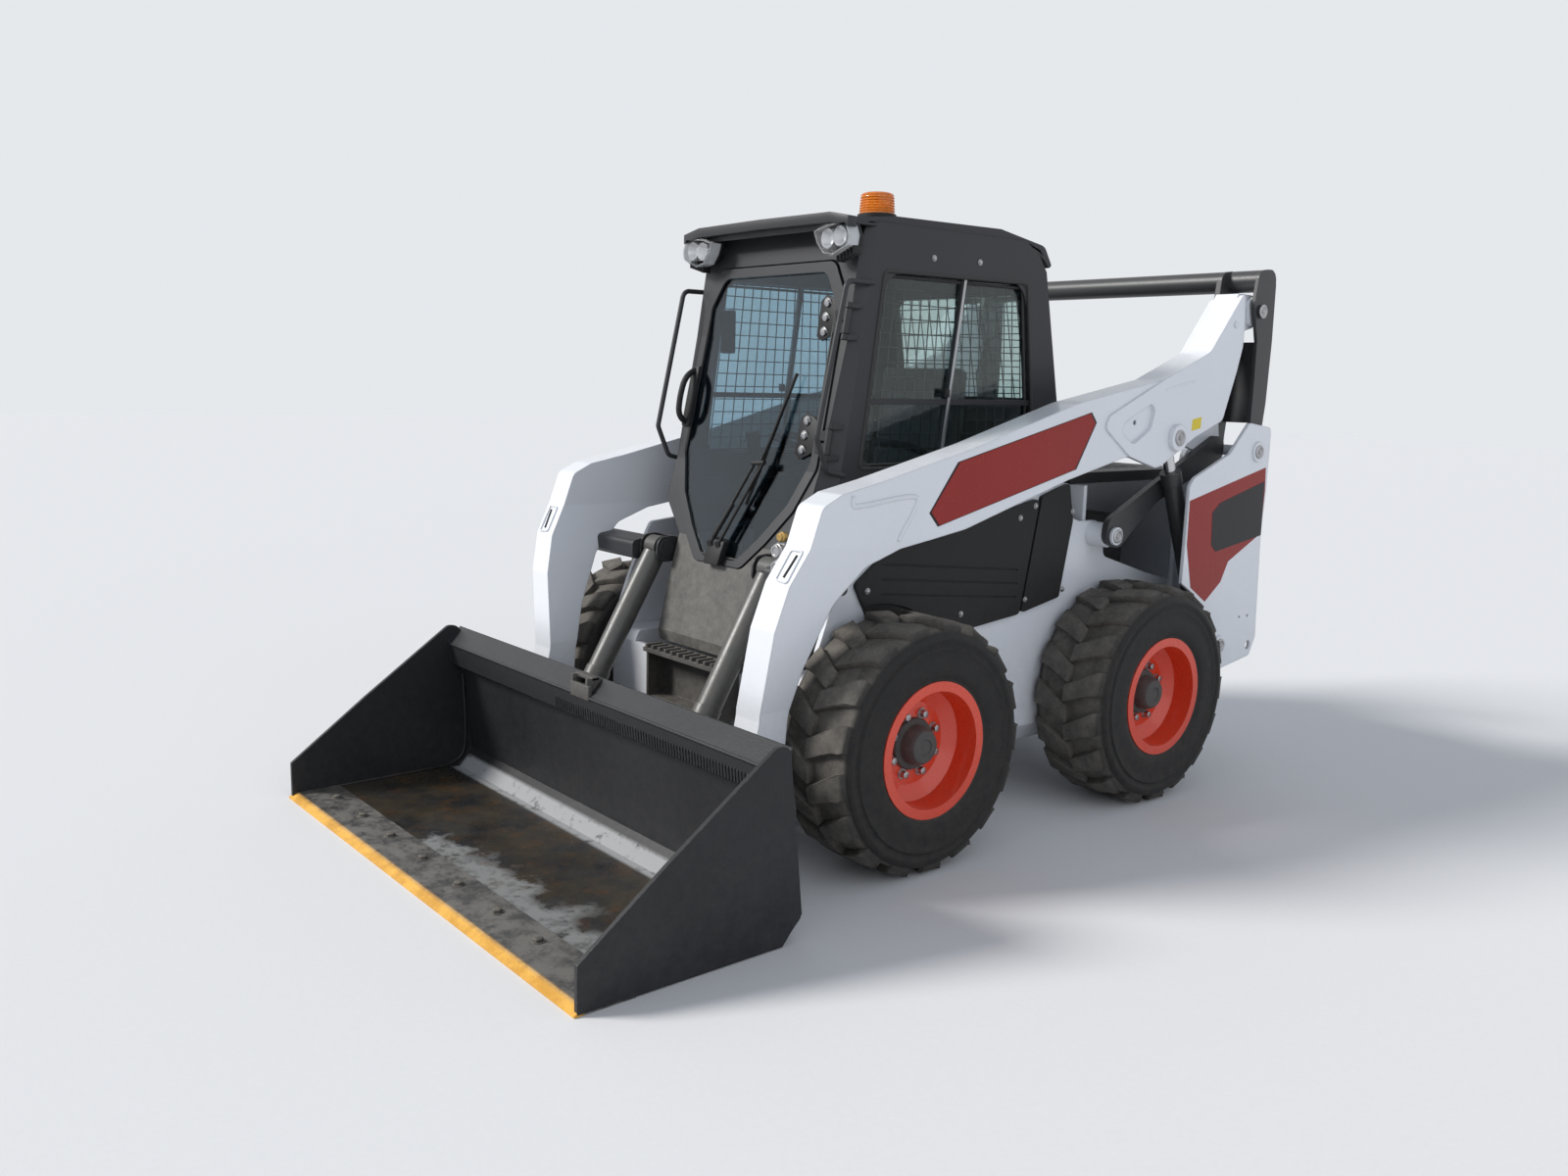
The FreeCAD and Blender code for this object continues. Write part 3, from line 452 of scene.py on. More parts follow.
def build_box_mask_group():
    """Mask of a box in the loader's own coordinates, with a soft uneven edge."""
    net, given, out = new_group(
        "Stained Area",
        [("Low", "Vector", (0, 0, 0)), ("High", "Vector", (1, 1, 1)), ("Softness", "Float", 0.05)],
        [("Mask", "Float")],
    )
    place = net.add("ShaderNodeTexCoord").outputs["Object"]
    wander = net.maths("MULTIPLY", net.maths("SUBTRACT", net.noise(place, 7.0, 6.0), 0.5), 0.45)
    shifted = net.add("ShaderNodeVectorMath")
    net.wire(place, shifted.inputs[0])
    offset = net.add("ShaderNodeCombineXYZ", X=wander, Y=wander)
    net.wire(offset.outputs[0], shifted.inputs[1])
    here = net.axes(shifted.outputs["Vector"])
    low = net.axes(given["Low"])
    high = net.axes(given["High"])
    mask = None
    for axis in "XY":
        inside = net.ramp(net.maths("SUBTRACT", here[axis], low[axis]), 0.0, given["Softness"])
        before = net.ramp(net.maths("SUBTRACT", high[axis], here[axis]), 0.0, given["Softness"])
        both = net.times(inside, before)
        mask = both if mask is None else net.times(mask, both)
    net.wire(mask, out["Mask"])
    return net.tree


def clear_finish(name, tint, roughness, transmission, ripple=0.0, **constants):
    """Glass or clear plastic: tinted, slightly smeared, see-through."""
    net, shader = start_material(name, Transmission_Weight=transmission, **constants)
    place = net.add("ShaderNodeTexCoord").outputs["Object"]
    smears = net.ramp(net.noise(place, 3.5, 8.0, 0.7), 0.45, 0.75)
    dusty = (min(1, tint[0] * 1.08), min(1, tint[1] * 1.05), min(1, tint[2] * 1.02), 1)
    net.wire(net.mix((*tint, 1), dusty, smears), shader.inputs["Base Color"])
    net.wire(net.ramp(smears, 0.0, 1.0, roughness, roughness + 0.05), shader.inputs["Roughness"])
    if ripple:
        relief = net.add("ShaderNodeBump", Height=net.noise(place, 60.0, 2.0), Distance=ripple)
        net.wire(relief.outputs["Normal"], shader.inputs["Normal"])
    return materials[name]


def build_bucket_finish():
    """Bucket steel: black paint outside, wet dirt, dried mud and bare metal inside."""
    net, shader = start_material("bucket_steel", IOR=1.5, Specular_IOR_Level=0.35)
    surface = use_group(
        net, "finish", Base=(0.011, 0.012, 0.014, 1), Shade=(0.02, 0.021, 0.024, 1), Mottle=0.7, Dust=0.12,
        Splash_Height=0.7, Dust_Colour=(0.14, 0.13, 0.12, 1), Grain_Scale=160.0,
    )
    edges = use_group(net, "edges", Radius=0.003)
    place = net.add("ShaderNodeTexCoord").outputs
    here = net.axes(place["Object"])
    facing = net.axes(place["Normal"])
    upward = net.ramp(facing["Z"], 0.4, 0.8)
    low = net.ramp(here["Z"], 0.03, 0.05, 1.0, 0.0)
    floor = net.times(net.times(upward, low), net.ramp(here["Y"], -1.125, -1.16))
    grime = net.ramp(net.noise(place["Object"], 5.0, 9.0, 0.7), 0.38, 0.62)
    rust = net.ramp(net.noise(place["Object"], 9.0, 10.0, 0.75), 0.52, 0.68)
    stain = use_group(net, "stain", Low=(-0.32, -1.74, 0), High=(0.98, -1.44, 1), Softness=0.05)
    pale = net.times(net.times(floor, stain["Mask"]), net.ramp(net.noise(place["Object"], 14.0, 8.0, 0.7), 0.34, 0.52))
    strip = net.times(net.ramp(here["Y"], -1.155, -1.14), net.ramp(here["Y"], -1.075, -1.085))
    strip = net.times(strip, net.ramp(here["Z"], 0.115, 0.1))
    strip = net.times(strip, net.ramp(here["Z"], 0.008, 0.012))
    strip = net.times(strip, net.ramp(net.maths("ABSOLUTE", here["X"], 0.0), 0.99, 0.97))
    worn = net.times(strip, net.ramp(net.noise(place["Object"], 22.0, 8.0, 0.7), 0.3, 0.45))
    colour = net.mix(surface["Colour"], (0.05, 0.04, 0.026, 1), net.times(floor, grime))
    colour = net.mix(colour, (0.12, 0.052, 0.014, 1), net.times(net.times(floor, rust), 0.5))
    colour = net.mix(colour, (0.26, 0.265, 0.26, 1), net.times(pale, 0.85))
    colour = net.mix(colour, (0.36, 0.365, 0.37, 1), worn)
    colour = net.mix(colour, (0.2, 0.2, 0.21, 1), net.times(edges["Edge Wear And Highlight"], 0.7))
    net.wire(colour, shader.inputs["Base Color"])
    damp = net.times(floor, net.ramp(net.noise(place["Object"], 3.0, 4.0), 0.4, 0.6))
    dull = net.ramp(damp, 0.0, 1.0, 0.42, 0.12)
    dull = net.maths("ADD", dull, net.maths("MULTIPLY", net.maths("MAXIMUM", pale, worn), 0.4), clamp=True)
    net.wire(dull, shader.inputs["Roughness"])
    relief = net.add("ShaderNodeBump", Height=surface["Height"], Normal=edges["Normal"], Distance=0.0007)
    net.wire(relief.outputs["Normal"], shader.inputs["Normal"])


def build_tread_rubber():
    """Tyre rubber: dusty worn tread, darker sidewalls with a faint sheen."""
    net, shader = start_material("tyre_rubber", IOR=1.5, Specular_IOR_Level=0.25)
    place = net.add("ShaderNodeTexCoord").outputs
    here = net.axes(place["Object"])
    surface = use_group(
        net, "finish", Base=(0.012, 0.012, 0.0125, 1), Shade=(0.019, 0.018, 0.018, 1), Mottle=0.6, Dust=0.3,
        Splash_Height=1.1, Dust_Colour=(0.085, 0.072, 0.058, 1), Grain_Scale=260.0,
    )
    across = net.maths("SUBTRACT", net.maths("ABSOLUTE", here["X"], 0.0), TYRE_X * MM)
    crown = net.ramp(net.maths("ABSOLUTE", across, 0.0), 0.146, 0.132)
    patches = net.ramp(net.noise(place["Object"], 16.0, 9.0, 0.72), 0.3, 0.62, 0.35, 1.0)
    colour = net.mix(surface["Colour"], (0.19, 0.175, 0.155, 1), net.times(net.times(crown, patches), 0.8))
    scuffs = net.ramp(net.noise(place["Object"], 90.0, 6.0, 0.8), 0.56, 0.7)
    colour = net.mix(colour, (0.3, 0.27, 0.23, 1), net.times(net.times(crown, scuffs), 0.55))
    net.wire(colour, shader.inputs["Base Color"])
    net.wire(net.ramp(crown, 0.0, 1.0, 0.55, 0.8), shader.inputs["Roughness"])
    cracks = net.maths("ADD", surface["Height"], net.maths("MULTIPLY", scuffs, -0.7))
    relief = net.add("ShaderNodeBump", Height=cracks, Distance=0.0012)
    net.wire(relief.outputs["Normal"], shader.inputs["Normal"])


def build_worn_yellow():
    """Yellow edge paint rubbed down to steel in streaks."""
    net, shader = start_material("yellow_edge", IOR=1.5)
    place = net.add("ShaderNodeTexCoord").outputs["Object"]
    here = net.axes(place)
    front = net.ramp(here["Y"], -1.735, -1.752)
    patches = net.ramp(net.noise(place, 11.0, 9.0, 0.75), 0.42, 0.56)
    fleck = net.ramp(net.noise(place, 60.0, 6.0, 0.7), 0.26, 0.38)
    paint = net.times(front, fleck)
    dirt = net.mix((0.09, 0.088, 0.085, 1), (0.2, 0.19, 0.175, 1), patches)
    yellow = net.mix((0.62, 0.3, 0.025, 1), (0.78, 0.42, 0.06, 1), patches)
    net.wire(net.mix(dirt, yellow, paint), shader.inputs["Base Color"])
    net.wire(net.ramp(patches, 0.0, 1.0, 0.4, 0.62), shader.inputs["Roughness"])
    net.wire(net.ramp(paint, 0.0, 1.0, 0.6, 0.0), shader.inputs["Metallic"])
    relief = net.add("ShaderNodeBump", Height=net.noise(place, 130.0, 6.0), Distance=0.001)
    net.wire(relief.outputs["Normal"], shader.inputs["Normal"])


def build_seat_cloth():
    """Dark woven seat cloth."""
    net, shader = start_material("seat_cloth", Sheen_Weight=0.3)
    weave = use_group(net, "weave", Thread_Scale=700.0)
    tone = net.mix((0.022, 0.022, 0.025, 1), (0.05, 0.05, 0.054, 1), weave["Height"])
    net.wire(net.mix(tone, (0.085, 0.08, 0.075, 1), net.times(weave["Shade Mask"], 0.3)), shader.inputs["Base Color"])
    net.wire(net.ramp(weave["Shade Mask"], 0.0, 1.0, 0.8, 0.95), shader.inputs["Roughness"])
    relief = net.add("ShaderNodeBump", Height=weave["Height"], Distance=0.0008)
    net.wire(relief.outputs["Normal"], shader.inputs["Normal"])


# The material of each CAD piece, by the start of its name.
NODE_FINISHES = (
    ("main_frame", "white_paint"), ("upright", "white_paint"), ("arm_crossmember", "black_paint"),
    ("arm_", "white_paint"), ("hood", "black_plastic"), ("tailgate", "white_paint"), ("cab_roof", "cab_paint"),
    ("cab_frame", "cab_paint"), ("foot_well", "dusty_panel"), ("window_bars", "cab_paint"), ("door_frame", "cab_paint"),
    ("rear_link", "link_paint"), ("control_link", "link_paint"), ("lift_barrel", "link_paint"),
    ("tilt_barrel", "barrel_paint"), ("attach_frame", "black_paint"), ("bucket", "bucket_steel"),
    ("front_step", "worn_black"), ("grab_handles", "cab_paint"), ("axle_tubes", "cast_iron"),
    ("lap_bar", "black_plastic"), ("wiper", "black_plastic"), ("lift_rod", "chrome"), ("tilt_rod", "chrome"),
    ("couplers", "steel"), ("side_covers", "black_plastic"), ("controls", "black_plastic"), ("engine", "cast_iron"),
    ("side_windows", "tinted_glass"), ("rear_window", "tinted_glass"), ("door_glass", "door_tint"),
    ("seat", "seat_cloth"), ("work_lamps", "lamp_lens"), ("beacon", "amber"), ("tail_lamps", "red_lens"),
    ("cutting_edge", "yellow_edge"), ("tyre", "tyre_rubber"), ("rim", "orange_paint"),
)


class LoaderColours(bpy.types.PropertyGroup):
    """Colours of the loader's finishes."""

    body: bpy.props.FloatVectorProperty(
        name="Body Paint", description="Colour of the arms and frame", subtype="COLOR", size=3, min=0, max=1,
        default=(0.78, 0.80, 0.84),
    )
    cab: bpy.props.FloatVectorProperty(
        name="Cab Paint", description="Colour of the cab, door and handles", subtype="COLOR", size=3, min=0, max=1,
        default=(0.026, 0.027, 0.03),
    )
    rims: bpy.props.FloatVectorProperty(
        name="Rims", description="Colour of the wheel rims", subtype="COLOR", size=3, min=0, max=1,
        default=(0.76, 0.055, 0.018),
    )
    marking: bpy.props.FloatVectorProperty(
        name="Marking Panels", description="Colour of the blank panels on the sides", subtype="COLOR", size=3,
        min=0, max=1, default=(0.3, 0.012, 0.008),
    )
    tint: bpy.props.FloatVectorProperty(
        name="Glass Tint", description="Tint of the cab's glass", subtype="COLOR", size=3, min=0, max=1,
        default=(0.6, 0.7, 0.69),
    )


class LoaderSizes(bpy.types.PropertyGroup):
    """Sizes of the pieces that are made here."""

    lug_count: bpy.props.IntProperty(name="Lugs", description="Tread lugs on each side of a tyre", default=17, min=8)
    lug_bevel: bpy.props.FloatProperty(
        name="Lug Rounding", description="Rounding of a tread lug's edges", default=0.005, unit="LENGTH"
    )
    screen_pitch: bpy.props.FloatProperty(
        name="Screen Pitch", description="Distance between the wires of the cab's screens", default=0.05, unit="LENGTH"
    )
    dust: bpy.props.FloatProperty(
        name="Road Dust", description="How much dust lies low on the body", default=0.3, subtype="FACTOR", min=0, max=1
    )


class LOADER_OT_finishes(bpy.types.Operator):
    """Build the materials and give one to each CAD piece"""

    bl_idname = "loader.finishes"
    bl_label = "Finishes"

    def execute(self, context):
        colours = context.scene.loader_colours
        dust = context.scene.loader_sizes.dust
        groups.update(
            finish=build_finish_group(), edges=build_edge_group(), weave=build_weave_group(),
            stain=build_box_mask_group(),
        )
        body = tuple(colours.body)
        cab = tuple(colours.cab)
        shaded = tuple(v * 0.92 for v in body)
        coat_finish("white_paint", body, shaded, 0.3, dust=dust, splash=0.75, edge_wear_and_highlight=0.3, radius=0.007,
                    Coat_Weight=0.3, dust_colour=(0.34, 0.31, 0.27))
        # The cab's edges are lightened to brownish grey: partly worn paint, partly painted highlights along the edges.
        coat_finish("cab_paint", cab, tuple(v * 0.75 for v in cab), 0.4, dust=0.22, splash=1.2, grain=420.0,
                    dust_colour=(0.15, 0.14, 0.12), edge_wear_and_highlight=0.25, edge_wear_and_highlight_colour=(0.16, 0.15, 0.14),
                    Specular_IOR_Level=0.4)
        coat_finish("dusty_panel", (0.055, 0.054, 0.052), (0.1, 0.097, 0.09), 0.6, mottle=0.8, dust=0.75, splash=1.6,
                    dust_colour=(0.27, 0.25, 0.22))
        coat_finish("black_paint", (0.02, 0.02, 0.022), (0.035, 0.035, 0.037), 0.38, dust=0.4, edge_wear_and_highlight=0.5)
        coat_finish("link_paint", (0.03, 0.031, 0.033), (0.045, 0.046, 0.048), 0.42, dust=0.3, edge_wear_and_highlight=0.4)
        coat_finish("barrel_paint", (0.075, 0.075, 0.072), (0.045, 0.045, 0.045), 0.34, dust=0.5, splash=1.3)
        coat_finish("worn_black", (0.03, 0.03, 0.03), (0.1, 0.095, 0.09), 0.55, mottle=0.8, dust=0.7, edge_wear_and_highlight=0.9)
        coat_finish("black_plastic", (0.011, 0.011, 0.012), (0.017, 0.017, 0.018), 0.52, dust=0.2, splash=1.2,
                    dust_colour=(0.12, 0.105, 0.085), grain=600.0, bump=0.0006, Specular_IOR_Level=0.3)
        coat_finish("orange_paint", tuple(colours.rims), tuple(v * 0.85 for v in colours.rims), 0.28, dust=0.2,
                    splash=0.5, Coat_Weight=0.4)
        coat_finish("marking", tuple(colours.marking), tuple(v * 0.8 for v in colours.marking), 0.25, dust=0.1,
                    grain=30.0, bump=0.0001, radius=0.001, Specular_IOR_Level=0.35)
        coat_finish("marking_dark", (0.009, 0.008, 0.011), (0.016, 0.015, 0.019), 0.3, dust=0.08, radius=0.001,
                    Specular_IOR_Level=0.3)
        coat_finish("steel", (0.42, 0.42, 0.43), (0.3, 0.3, 0.31), 0.35, dust=0.3, edge_wear_and_highlight=0.2, Metallic=1.0)
        coat_finish("chrome", (0.62, 0.62, 0.64), (0.55, 0.55, 0.57), 0.12, dust=0.1, Metallic=1.0)
        coat_finish("reflector", (0.72, 0.73, 0.75), (0.58, 0.59, 0.61), 0.38, dust=0.05, radius=0.001, Metallic=0.6)
        coat_finish("brass", (0.5, 0.33, 0.12), (0.35, 0.22, 0.08), 0.35, dust=0.3, Metallic=1.0)
        coat_finish("cast_iron", (0.045, 0.045, 0.047), (0.08, 0.078, 0.075), 0.6, dust=0.5, bump=0.001, grain=120.0)
        coat_finish("seal_rubber", (0.02, 0.02, 0.02), (0.03, 0.03, 0.03), 0.6, dust=0.3, radius=0.001)
        coat_finish("sticker_yellow", (0.75, 0.6, 0.03), (0.7, 0.52, 0.02), 0.4, dust=0.1, radius=0.001)
        tint = tuple(colours.tint)
        clear_finish("tinted_glass", tint, 0.01, 1.0, IOR=1.45)
        clear_finish("door_tint", (0.36, 0.53, 0.67), 0.01, 1.0, IOR=1.5)
        clear_finish("amber", (1.0, 0.26, 0.008), 0.12, 0.5, ripple=0.0004)
        clear_finish("lamp_lens", (0.9, 0.91, 0.92), 0.04, 1.0, IOR=1.12)
        clear_finish("lamp_wall", (0.8, 0.82, 0.84), 0.15, 0.5, IOR=1.3)
        clear_finish("red_lens", (0.65, 0.015, 0.01), 0.12, 0.4, ripple=0.0004)
        build_bucket_finish()
        build_tread_rubber()
        build_worn_yellow()
        build_seat_cloth()
        for node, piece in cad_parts.items():
            finish_name = next(name for start, name in NODE_FINISHES if node.startswith(start))
            piece.data.materials.clear()
            piece.data.materials.append(materials[finish_name])
        return {"FINISHED"}


# Wheels

LUG_STATIONS = (
    # across the tread, front edge and rear edge along the tread, top radius, foot radius
    (-8, -32, 32, 414.5, 380), (30, -17, 51, 415, 380), (62, -3, 68, 415, 380), (92, 7, 84, 413, 380),
    (118, 15, 99, 410, 378), (133, 17, 104, 404, 372), (143, 18, 105, 393, 366),
)
CARCASS_PROFILE = (
    # from the middle of the tread, radius; the outer half
    (131, 201), (139, 211), (141, 223), (148, 234), (152, 250), (153, 290), (152, 318), (153.3, 321),
    (153.3, 330), (149.5, 334), (149, 343), (153.4, 351), (153.4, 362), (148, 374), (139, 380), (118, 386), (60, 389),
)


def tyre_piece(sizes):
    """One tyre about the X axis through the origin."""
    half = list(CARCASS_PROFILE)
    profile = half + [(-x, r) for x, r in reversed(half)]
    pieces = [lathe("carcass", profile, (0, 0, 0), steps=96)]
    front = [(x, t, top, foot) for x, t, _, top, foot in LUG_STATIONS]
    rear = [(x, t, top, foot) for x, _, t, top, foot in reversed(LUG_STATIONS)]
    edge = front + rear
    lug = plate("lug", [(x, t, foot) for x, t, _, foot in edge], (0, 0, 100))
    count = len(edge)
    for i, vertex in enumerate(lug.data.vertices):
        x, t, top, foot = edge[i % count]
        radius = top if i >= count else foot
        turn = t / 400
        vertex.co = at(x, radius * math.sin(turn), radius * math.cos(turn))
    bevelled(lug, sizes.lug_bevel * 1000, 2, 40)
    pitch = math.tau / sizes.lug_count
    mirror = Matrix.Scale(-1, 4, (1, 0, 0))
    turns = [Matrix.Rotation(pitch * i, 4, "X") for i in range(sizes.lug_count)]
    turns += [Matrix.Rotation(pitch * (i + 0.5), 4, "X") @ mirror for i in range(sizes.lug_count)]
    pieces.append(spread(lug, turns, "lugs"))
    return joined("tyre", pieces)


class LOADER_OT_tyres(bpy.types.Operator):
    """Model one tyre with its tread and place it four times"""

    bl_idname = "loader.tyres"
    bl_label = "Tyres"

    def execute(self, context):
        tyre = tyre_piece(context.scene.loader_sizes)
        for end, y in AXLES:
            for side, sign in SIDES:
                place = Matrix.Translation(at(TYRE_X * sign, y, AXLE_Z))
                if sign < 0:
                    place = place @ Matrix.Scale(-1, 4, (1, 0, 0))
                piece = copied(tyre, place, "tyre_detail_%s_%s" % (end, side))
                finish(piece, "wheel_%s_%s" % (end, side), "tyre_rubber", smooth=40)
                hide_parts("tyre_%s_%s" % (end, side))
        bpy.data.objects.remove(tyre)
        return {"FINISHED"}


def bolt_head(radius=9.0, height=7.0):
    """Hexagonal head on a washer, at the origin, facing +Z."""
    washer = lathe("washer", [(0, 0.5), (0, radius * 1.35), (1.6, radius * 1.35), (1.6, 0.5)], (0, 0, 0), (0, 0, 1), 20)
    clear_selection()
    bpy.ops.mesh.primitive_cylinder_add(
        vertices=6, radius=radius * MM, depth=height * MM, location=at(0, 0, 1.5 + height / 2)
    )
    bpy.ops.object.transform_apply(location=True, rotation=True, scale=True)
    head = bevelled(named("head"), min(1.4, radius * 0.16), 2)
    return joined("bolt", [washer, head])


def bolts(name, body, places, radius=9.0, height=7.0, material="steel"):
    """Bolt heads at (position, direction) places, as one piece."""
    matrices = [placed(position, direction, 0.3 * i) for i, (position, direction) in enumerate(places)]
    return finish(spread(bolt_head(radius, height), matrices, name), body, material)


class LOADER_OT_hubs(bpy.types.Operator):
    """Add the hub caps, wheel nuts and valves"""

    bl_idname = "loader.hubs"
    bl_label = "Hubs"

    def execute(self, context):
        face = 786
        for end, y in AXLES:
            for side, sign in SIDES:
                body = "wheel_%s_%s" % (end, side)
                tag = "%s_%s" % (end, side)
                ring_profile = [
                    (face + 40, 0.5), (face, 30), (face, 84), (face + 6, 86), (face + 13, 82), (face + 14, 64),
                    (face + 50, 60), (face + 62, 52), (face + 66, 40), (face + 66, 26), (face + 62, 24),
                    (face + 62, 0.5),
                ]
                profile = [(sign * a, r) for a, r in ring_profile]
                finish(lathe("hub_cap_" + tag, profile, (0, y, AXLE_Z)), body, "cast_iron")
                places = []
                for i in range(8):
                    a = math.tau * (i + 0.5) / 8
                    spot = (sign * (face + 1), y + NUT_CIRCLE * math.sin(a), AXLE_Z + NUT_CIRCLE * math.cos(a))
                    places.append((spot, (sign, 0, 0)))
                bolts("wheel_nuts_" + tag, body, places, 13.2, 20)
                stem = [(sign * (face + 40), y - 60, AXLE_Z + 168), (sign * (face + 72), y - 62, AXLE_Z + 172)]
                valve = tube("valve_" + tag, stem, 4, bend=False)
                finish(valve, body, "brass")
        return {"FINISHED"}


# Cab

WINDOW = ((-269, 1908), (451, 1913), (506, 1481), (520, 1262), (-356, 1262))
DOOR_GLASS = (
    (282, 1935), (346, 1828), (360, 1262), (300, 1130), (210, 1020), (120, 930),
    (-120, 930), (-210, 1020), (-300, 1130), (-360, 1262), (-346, 1828), (-282, 1935),
)
DOOR_SLOPE = ((1990, -352), (1700, -395), (1250, -492), (890, -604), (640, -668))


def door_face(z):
    """Depth of the door's outer face at a height."""
    for (high, y_high), (low, y_low) in zip(DOOR_SLOPE, DOOR_SLOPE[1:]):
        if z >= low:
            return y_low + (y_high - y_low) * (z - low) / (high - low)
    return DOOR_SLOPE[-1][1]


def lay_on_door(piece, away):
    """Shift a piece modelled at the origin's depth so that it follows the door's slope, a distance in front of it."""
    for vertex in piece.data.vertices:
        vertex.co.y += (door_face(vertex.co.z * 1000) - away) * MM
    return piece


def inset_outline(points, distance):
    """Outline moved inwards towards its middle by a distance."""
    middle = Vector((sum(p[0] for p in points) / len(points), sum(p[1] for p in points) / len(points)))
    moved = []
    for p in points:
        away = Vector(p) - middle
        moved.append(tuple(middle + away * (1 - distance / away.length)))
    return moved


def rim_tube(name, points, radius, rounding=40):
    """Closed bead along an outline whose corners are rounded."""
    count = len(points)
    line = []
    for i, point in enumerate(points):
        here = Vector(point)
        for other in (Vector(points[i - 1]), Vector(points[(i + 1) % count])):
            line.append(here + (other - here).normalized() * min(rounding, (other - here).length * 0.4))
        line.insert(-1, here)
    clear_selection()
    bpy.ops.curve.primitive_nurbs_path_add()
    piece = named(name)
    curve = piece.data
    curve.splines.clear()
    spline = curve.splines.new("NURBS")
    spline.points.add(len(line) - 1)
    for point, place in zip(spline.points, line):
        point.co = (*(place * MM), 1)
    spline.order_u = 3
    spline.use_cyclic_u = True
    spline.resolution_u = 6
    curve.bevel_depth = radius * MM
    curve.bevel_resolution = 2
    curve.dimensions = "3D"
    activate(piece)
    bpy.ops.object.convert(target="MESH")
    return bpy.context.object


def wire_screen(name, low, high, pitch, place):
    """Woven wire screen between two corners, its points carried by a function of (across, up)."""
    clear_selection()
    across = max(2, round((high[0] - low[0]) / pitch))
    up = max(2, round((high[1] - low[1]) / pitch))
    wires = []
    for i in range(across + 1):
        a = low[0] + (high[0] - low[0]) * i / across
        wires.append([place(a, low[1] + (high[1] - low[1]) * j / 4) for j in range(5)])
    for j in range(up + 1):
        b = low[1] + (high[1] - low[1]) * j / up
        wires.append([place(low[0] + (high[0] - low[0]) * i / 4, b) for i in range(5)])
    return joined(name, [tube("wire", line, 2.2, bend=False, sides=1) for line in wires])


class LOADER_OT_cab_screens(bpy.types.Operator):
    """Add the wire screens behind the side and rear windows"""

    bl_idname = "loader.cab_screens"
    bl_label = "Cab Screens"

    def execute(self, context):
        pitch = context.scene.loader_sizes.screen_pitch * 1000

        def side_point(a, b):
            lean = (b - 1262) / 650
            front = -340 + 80 * lean
            rear = 505 - 55 * lean
            share = (a + 340) / 845
            return (410, front + (rear - front) * share, b)

        paired(wire_screen("screen", (-340, 1275), (505, 1905), pitch, side_point), "side_screen", "chassis",
               "cab_paint")
        def rear_point(a, b):
            return (a, 610 - (b - 1490) * 0.21, b)

        rear = wire_screen("rear_screen", (-330, 1490), (330, 1890), pitch, rear_point)
        finish(rear, "chassis", "cab_paint")
        return {"FINISHED"}


class LOADER_OT_cab_trim(bpy.types.Operator):
    """Add the cab's window seals and corners, slider trim, latches, bolts, visor, roof ribs and gutters"""

    bl_idname = "loader.cab_trim"
    bl_label = "Cab Trim"

    def execute(self, context):
        seal = rim_tube("seal", [(449, y, z) for y, z in WINDOW], 6, 45)
        paired(seal, "window_seal", "chassis", "seal_rubber")
        inner = rim_tube("inner", [(436, y, z) for y, z in inset_outline(WINDOW, 22)], 5, 40)
        paired(inner, "window_inner_seal", "chassis", "seal_rubber")
        slider = side_plate("slider", [(118, 1905), (130, 1905), (44, 1300), (32, 1300)], 444, 449, 1)
        paired(slider, "window_slider_trim", "chassis", "steel")
        fillers = []
        top_front, top_rear, _, low_rear, low_front = WINDOW
        corners = ((top_front, (1, -1)), (top_rear, (-1, -1)), (low_rear, (-1, 1)), (low_front, (1, 1)))
        for (y, z), (dy, dz) in corners:
            turns = [math.radians(15 * k) for k in range(7)]
            arc = [(y + dy * 90 * (1 - math.sin(a)), z + dz * 90 * (1 - math.cos(a))) for a in turns]
            fillers.append(side_plate("filler", [(y - dy * 4, z - dz * 4)] + arc, 445, 448))
        paired(joined("window_fillers", fillers), "window_corners", "chassis", "cab_paint")
        latch = slab("latch", (442, 36, 1500), (458, 58, 1530), 3)
        paired(latch, "window_latch", "chassis", "black_plastic")
        spots = ((-40, 1965), (190, 1968), (-300, 1230), (380, 1232))
        left = spread(bolt_head(8, 5), [placed((450, y, z), (1, 0, 0)) for y, z in spots], "cab_bolts")
        paired(left, "cab_bolts", "chassis", "steel")
        crown = [(0, 2089), (360, 2086), (452, 2068)]
        over = [(-x, z) for x, z in reversed(crown[1:])] + crown
        under = [(x, z - 34) for x, z in reversed(over)]
        visor = front_plate("visor", over + under, -440, -402, 2)
        finish(visor, "chassis", "cab_paint")
        ribs = [slab("rib", (x - 14, -150, 2088), (x + 14, 440, 2091.5), 1.2) for x in (-260, 0, 160)]
        finish(joined("roof_ribs", ribs), "chassis", "cab_paint")
        edge = tube("gutter", [(441, -396, 2050), (441, 300, 2052), (441, 520, 2040), (441, 566, 1984)], 5)
        paired(edge, "roof_gutter", "chassis", "cab_paint")
        return {"FINISHED"}


